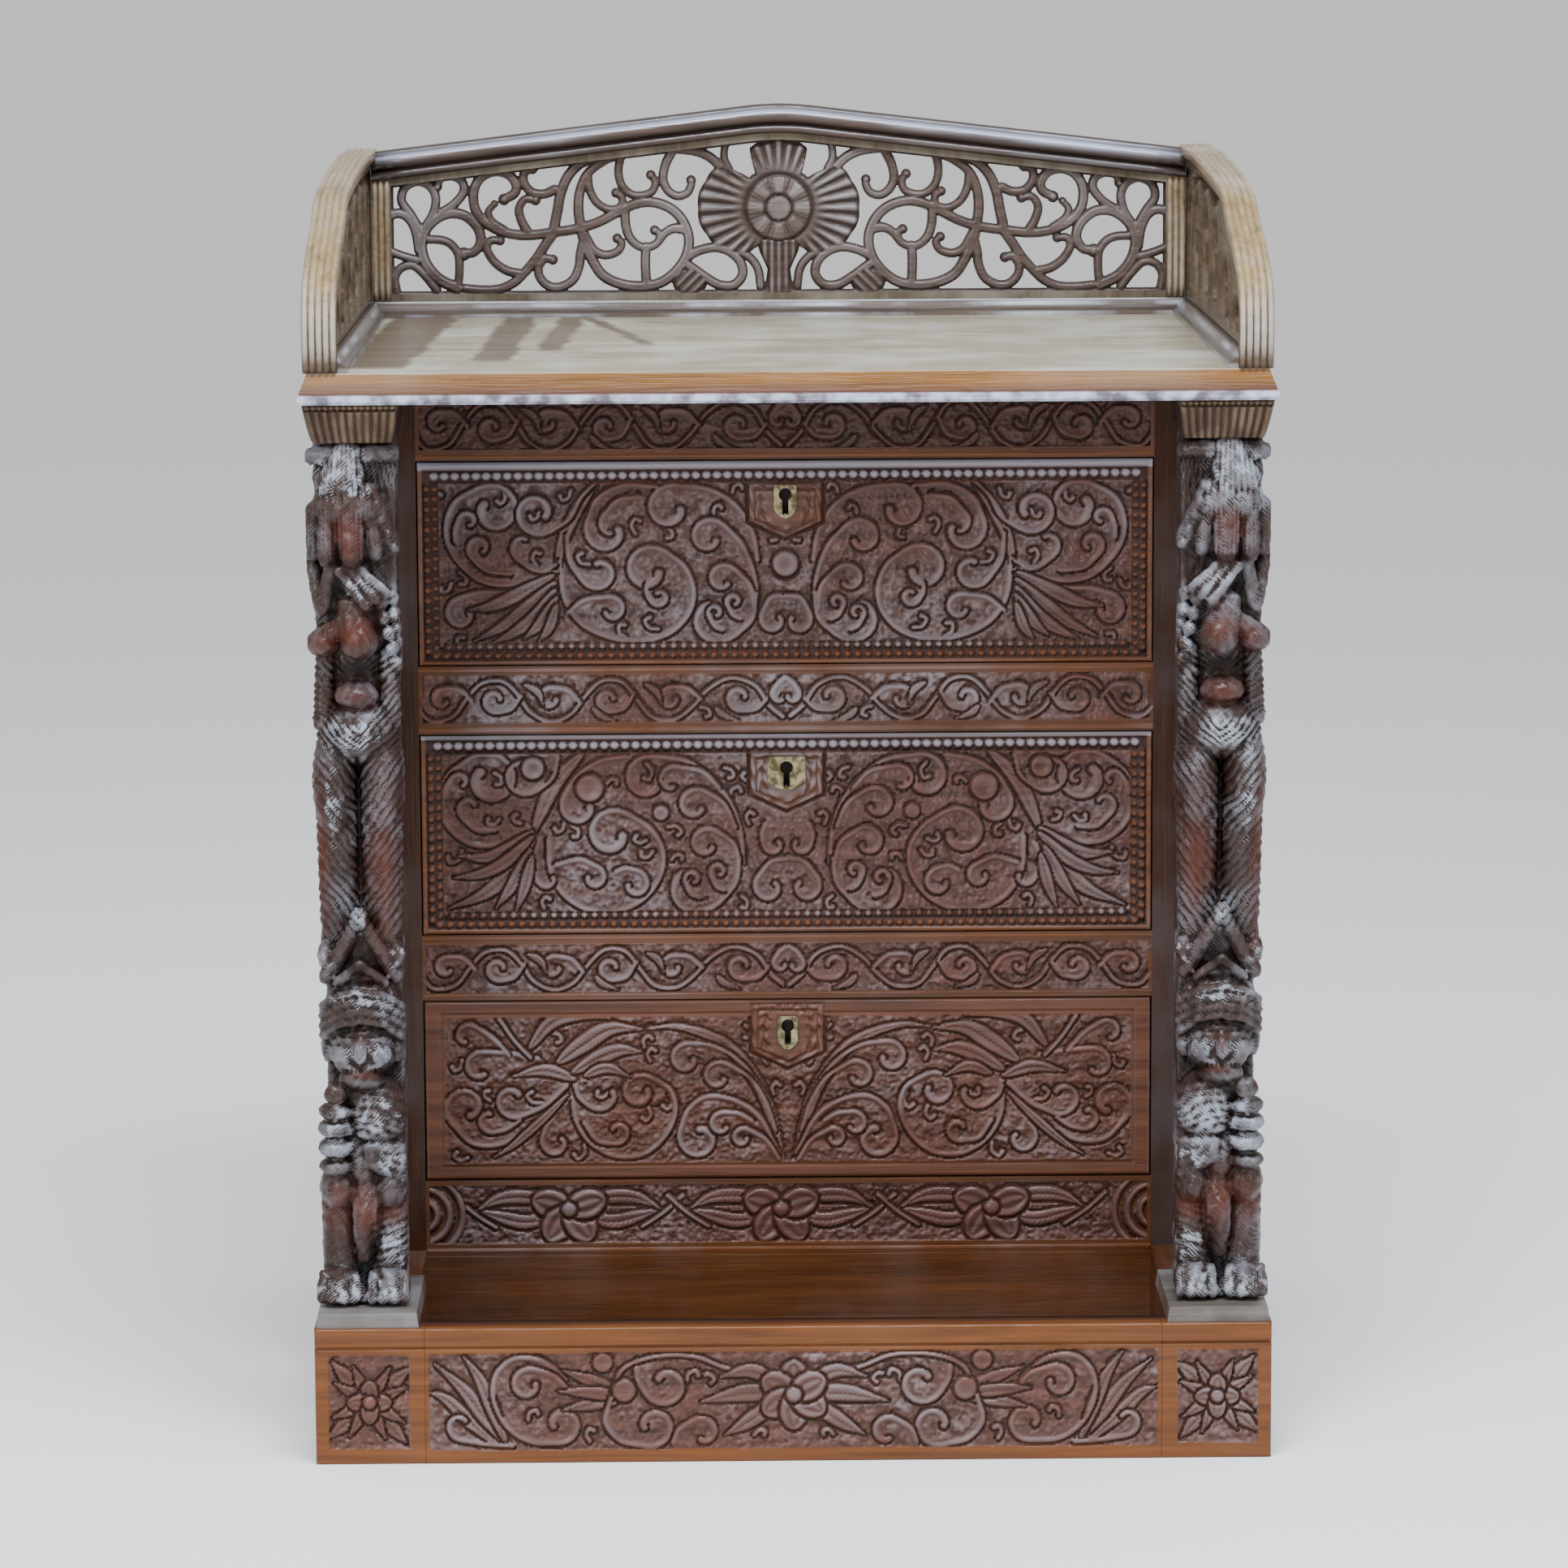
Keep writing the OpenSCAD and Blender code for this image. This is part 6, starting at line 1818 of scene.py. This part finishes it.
def keyhole_loop(bm, r=3.4, slot=1.6, length=10.5):
    start = math.asin(slot / r)
    angles = np.linspace(-math.pi / 2 + start, 1.5 * math.pi - start, 22)
    points = [(r * math.cos(a), r * math.sin(a)) for a in angles]
    points += [(-slot, -length), (slot, -length)]
    return [bm.verts.new((x, z, 0)) for x, z in points]


def plate_loop(bm, w, top, low):
    points = [(-w, top - 1), (-w + 1, top), (w - 1, top), (w, top - 1), (w, low + 5.5),
              (w * 0.8, low + 3), (w * 0.4, low + 0.8), (0, low), (-w * 0.4, low + 0.8),
              (-w * 0.8, low + 3), (-w, low + 5.5)]
    return [bm.verts.new((x, z, 0)) for x, z in points]


def keyhole_plate(name, w, top, low, key_z, body):
    bm = bmesh.new()
    edges = []
    for loop in (plate_loop(bm, w, top, low), keyhole_loop(bm)):
        edges += [bm.edges.new((loop[i], loop[(i + 1) % len(loop)])) for i in range(len(loop))]
    bmesh.ops.triangle_fill(bm, edges=edges, use_beauty=True)
    made = bmesh.ops.extrude_face_region(bm, geom=bm.faces[:], use_keep_orig=True)["geom"]
    bmesh.ops.translate(bm, vec=(0, 0, PLATE_THICK), verts=points_in(made))
    bmesh.ops.recalc_face_normals(bm, faces=bm.faces)
    sharp = [e for e in bm.edges if e.calc_face_angle(0) > 1.0
             and all(v.co.z > 1 for v in e.verts)]
    bmesh.ops.bevel(bm, geom=sharp, offset=0.35, offset_type="OFFSET", segments=2,
                    profile=0.5, affect="EDGES", material=-1)
    for px, pz in ((-w + 2, top - 2), (w - 2, top - 2), (0, low + 2.2)):
        pin = bmesh.ops.create_icosphere(bm, subdivisions=2, radius=0.8)["verts"]
        bmesh.ops.scale(bm, vec=(1, 1, 0.6), verts=pin)
        bmesh.ops.translate(bm, vec=(px, pz, PLATE_THICK + 0.05), verts=pin)
    for v in bm.verts:
        v.co = Vector((v.co.x, PLATE_Y - v.co.z, key_z + v.co.y)) * MM
    bmesh.ops.recalc_face_normals(bm, faces=bm.faces)
    return finish_piece(name, bm, brass_finish, body, flat=True)


# Half width, and the top and the tip from the keyhole's middle.
plates = {"top": (6.2, 5.4, -13.0), "middle": (10.5, 6.0, -12.5), "bottom": (5.6, 5.4, -13.5)}
for name, (w, top, low) in plates.items():
    plate = keyhole_plate(name + "_escutcheon", w, top, low, drawers[name][2], name + "_drawer")
    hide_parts(name + "_keyhole_plate")
print("plates:", len(plates))

# %% [markdown]
# ## Finishes for the boards that stay as the CAD made them
# Their grain runs along each board, and what is never polished, such as the
# drawer boxes and the back, is left dry.

# %% Board finishes
plinth_finish = wood("plinth_wood", "X", polish=rgb(0.12, 0.10, 0.085),
                     haze_and_sheen=rgb(0.27, 0.27, 0.27), haze_and_sheen_amount=0.8, height=0.9)
frame_finish = wood("frame_wood", "Z", deep=rgb(0.03, 0.018, 0.010),
                    polish=rgb(0.105, 0.080, 0.052), haze_and_sheen=rgb(0.30, 0.27, 0.22),
                    haze_and_sheen_amount=0.6, height=0.75, coat=0.3, blotch=30.0)
foot_finish = wood("foot_wood", "X", deep=rgb(0.03, 0.018, 0.012),
                   polish=rgb(0.115, 0.085, 0.070), haze_and_sheen=rgb(0.54, 0.56, 0.64),
                   haze_and_sheen_amount=0.75, height=0.85, coat=0.6, blotch=16.0)
# Bands by height paint its rounds pale blue, a painted highlight like the
# crest's, and its hollows darker, a painted shade.
tree = foot_finish.node_tree
_, (_, _, height) = object_point(tree)
above = math_node(tree, "SUBTRACT", height, (TOP_Z + 1.0) * MM)
wave = math_node(tree, "COSINE", math_node(tree, "MULTIPLY", above, 2 * math.pi / 0.0056))
rubbing_and_painted_light = math_node(tree, "ADD", math_node(tree, "MULTIPLY", wave, 0.38), 0.55)
tree.links.new(rubbing_and_painted_light, patina_of(foot_finish).inputs["Height"])
# Its faint blue-grey haze is a painted sheen.
stile_finish = wood("stile_wood", "Z", polish=rgb(0.028, 0.011, 0.006), warmth=0.1,
                    warm=rgb(0.12, 0.04, 0.010), haze_and_sheen=rgb(0.12, 0.12, 0.14),
                    haze_and_sheen_amount=0.35)
finishes = {"table_top": top_finish, "gallery_back_frame": frame_finish,
            "gallery_crest_rail": crest_finish, "gallery_foot_mouldings": foot_finish}
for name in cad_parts:
    if name in finishes:
        continue
    if "lock_bolt" in name:
        finishes[name] = iron_finish
    elif "lock_case" in name or "keyhole" in name:
        finishes[name] = brass_finish
    elif name.startswith("lion_plinths"):
        finishes[name] = plinth_finish
    elif name.startswith("capital"):
        finishes[name] = capital_finish
    elif "drawer_front" in name:
        finishes[name] = board_finish["X"]
    elif "drawer_" in name or name.startswith("runners") or name in ("case_back", "trough_floor"):
        finishes[name] = dry_finish["Y" if "side" in name or "runners" in name else "X"]
    elif name.startswith(("stile", "column")):
        finishes[name] = stile_finish
    elif "side" in name:
        finishes[name] = board_finish["Y"]
    else:
        finishes[name] = board_finish["X"]
for name, material in finishes.items():
    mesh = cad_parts[name].data
    mesh.materials.clear()
    mesh.materials.append(material)
print("boards finished:", len(finishes))

# %% [markdown]
# ## The studio
# The chest stands on a white ground in soft light from above and in front,
# with cool highlights along every bead. A large lamp overhead, a broad one on
# the left of the camera, a weaker one on its right and a pale world light it,
# and the finishes add a painted sheen to the beads.


# %% Floor and lights
def studio_floor():
    bm = bmesh.new()
    bmesh.ops.create_grid(bm, x_segments=2, y_segments=2, size=6.0)
    floor = placed("floor", mesh_from("floor", bm))
    material, _, _ = new_material("floor", {"Base Color": rgb(0.96, 0.96, 0.96),
                                            "Roughness": 0.9})
    floor.data.materials.append(material)


def lamp(name, place, aim, size, power, colour):
    data = bpy.data.lights.new(name, "AREA")
    data.shape = "RECTANGLE"
    data.size, data.size_y = size
    data.energy, data.color = power, colour
    obj = placed(name, data)
    obj.location = place
    obj.rotation_euler = (Vector(aim) - Vector(place)).to_track_quat("-Z", "Y").to_euler()


studio_floor()
lamp("overhead", (0.1, -1.0, 2.2), (0, 0, 0.4), (1.3, 0.8), 78, (0.80, 0.89, 1.0))
lamp("front", (-1.4, -2.8, 1.3), (0, 0, 0.3), (1.2, 1.2), 44, (1.0, 0.96, 0.92))
lamp("right", (2.2, -1.4, 1.3), (0, 0, 0.35), (0.8, 1.4), 16, (0.90, 0.94, 1.0))
world = bpy.data.worlds.new("world")
world.use_nodes = True
background = world.node_tree.nodes["Background"]
background.inputs["Color"].default_value = rgb(1, 1, 1)
background.inputs["Strength"].default_value = 0.75
bpy.context.scene.world = world
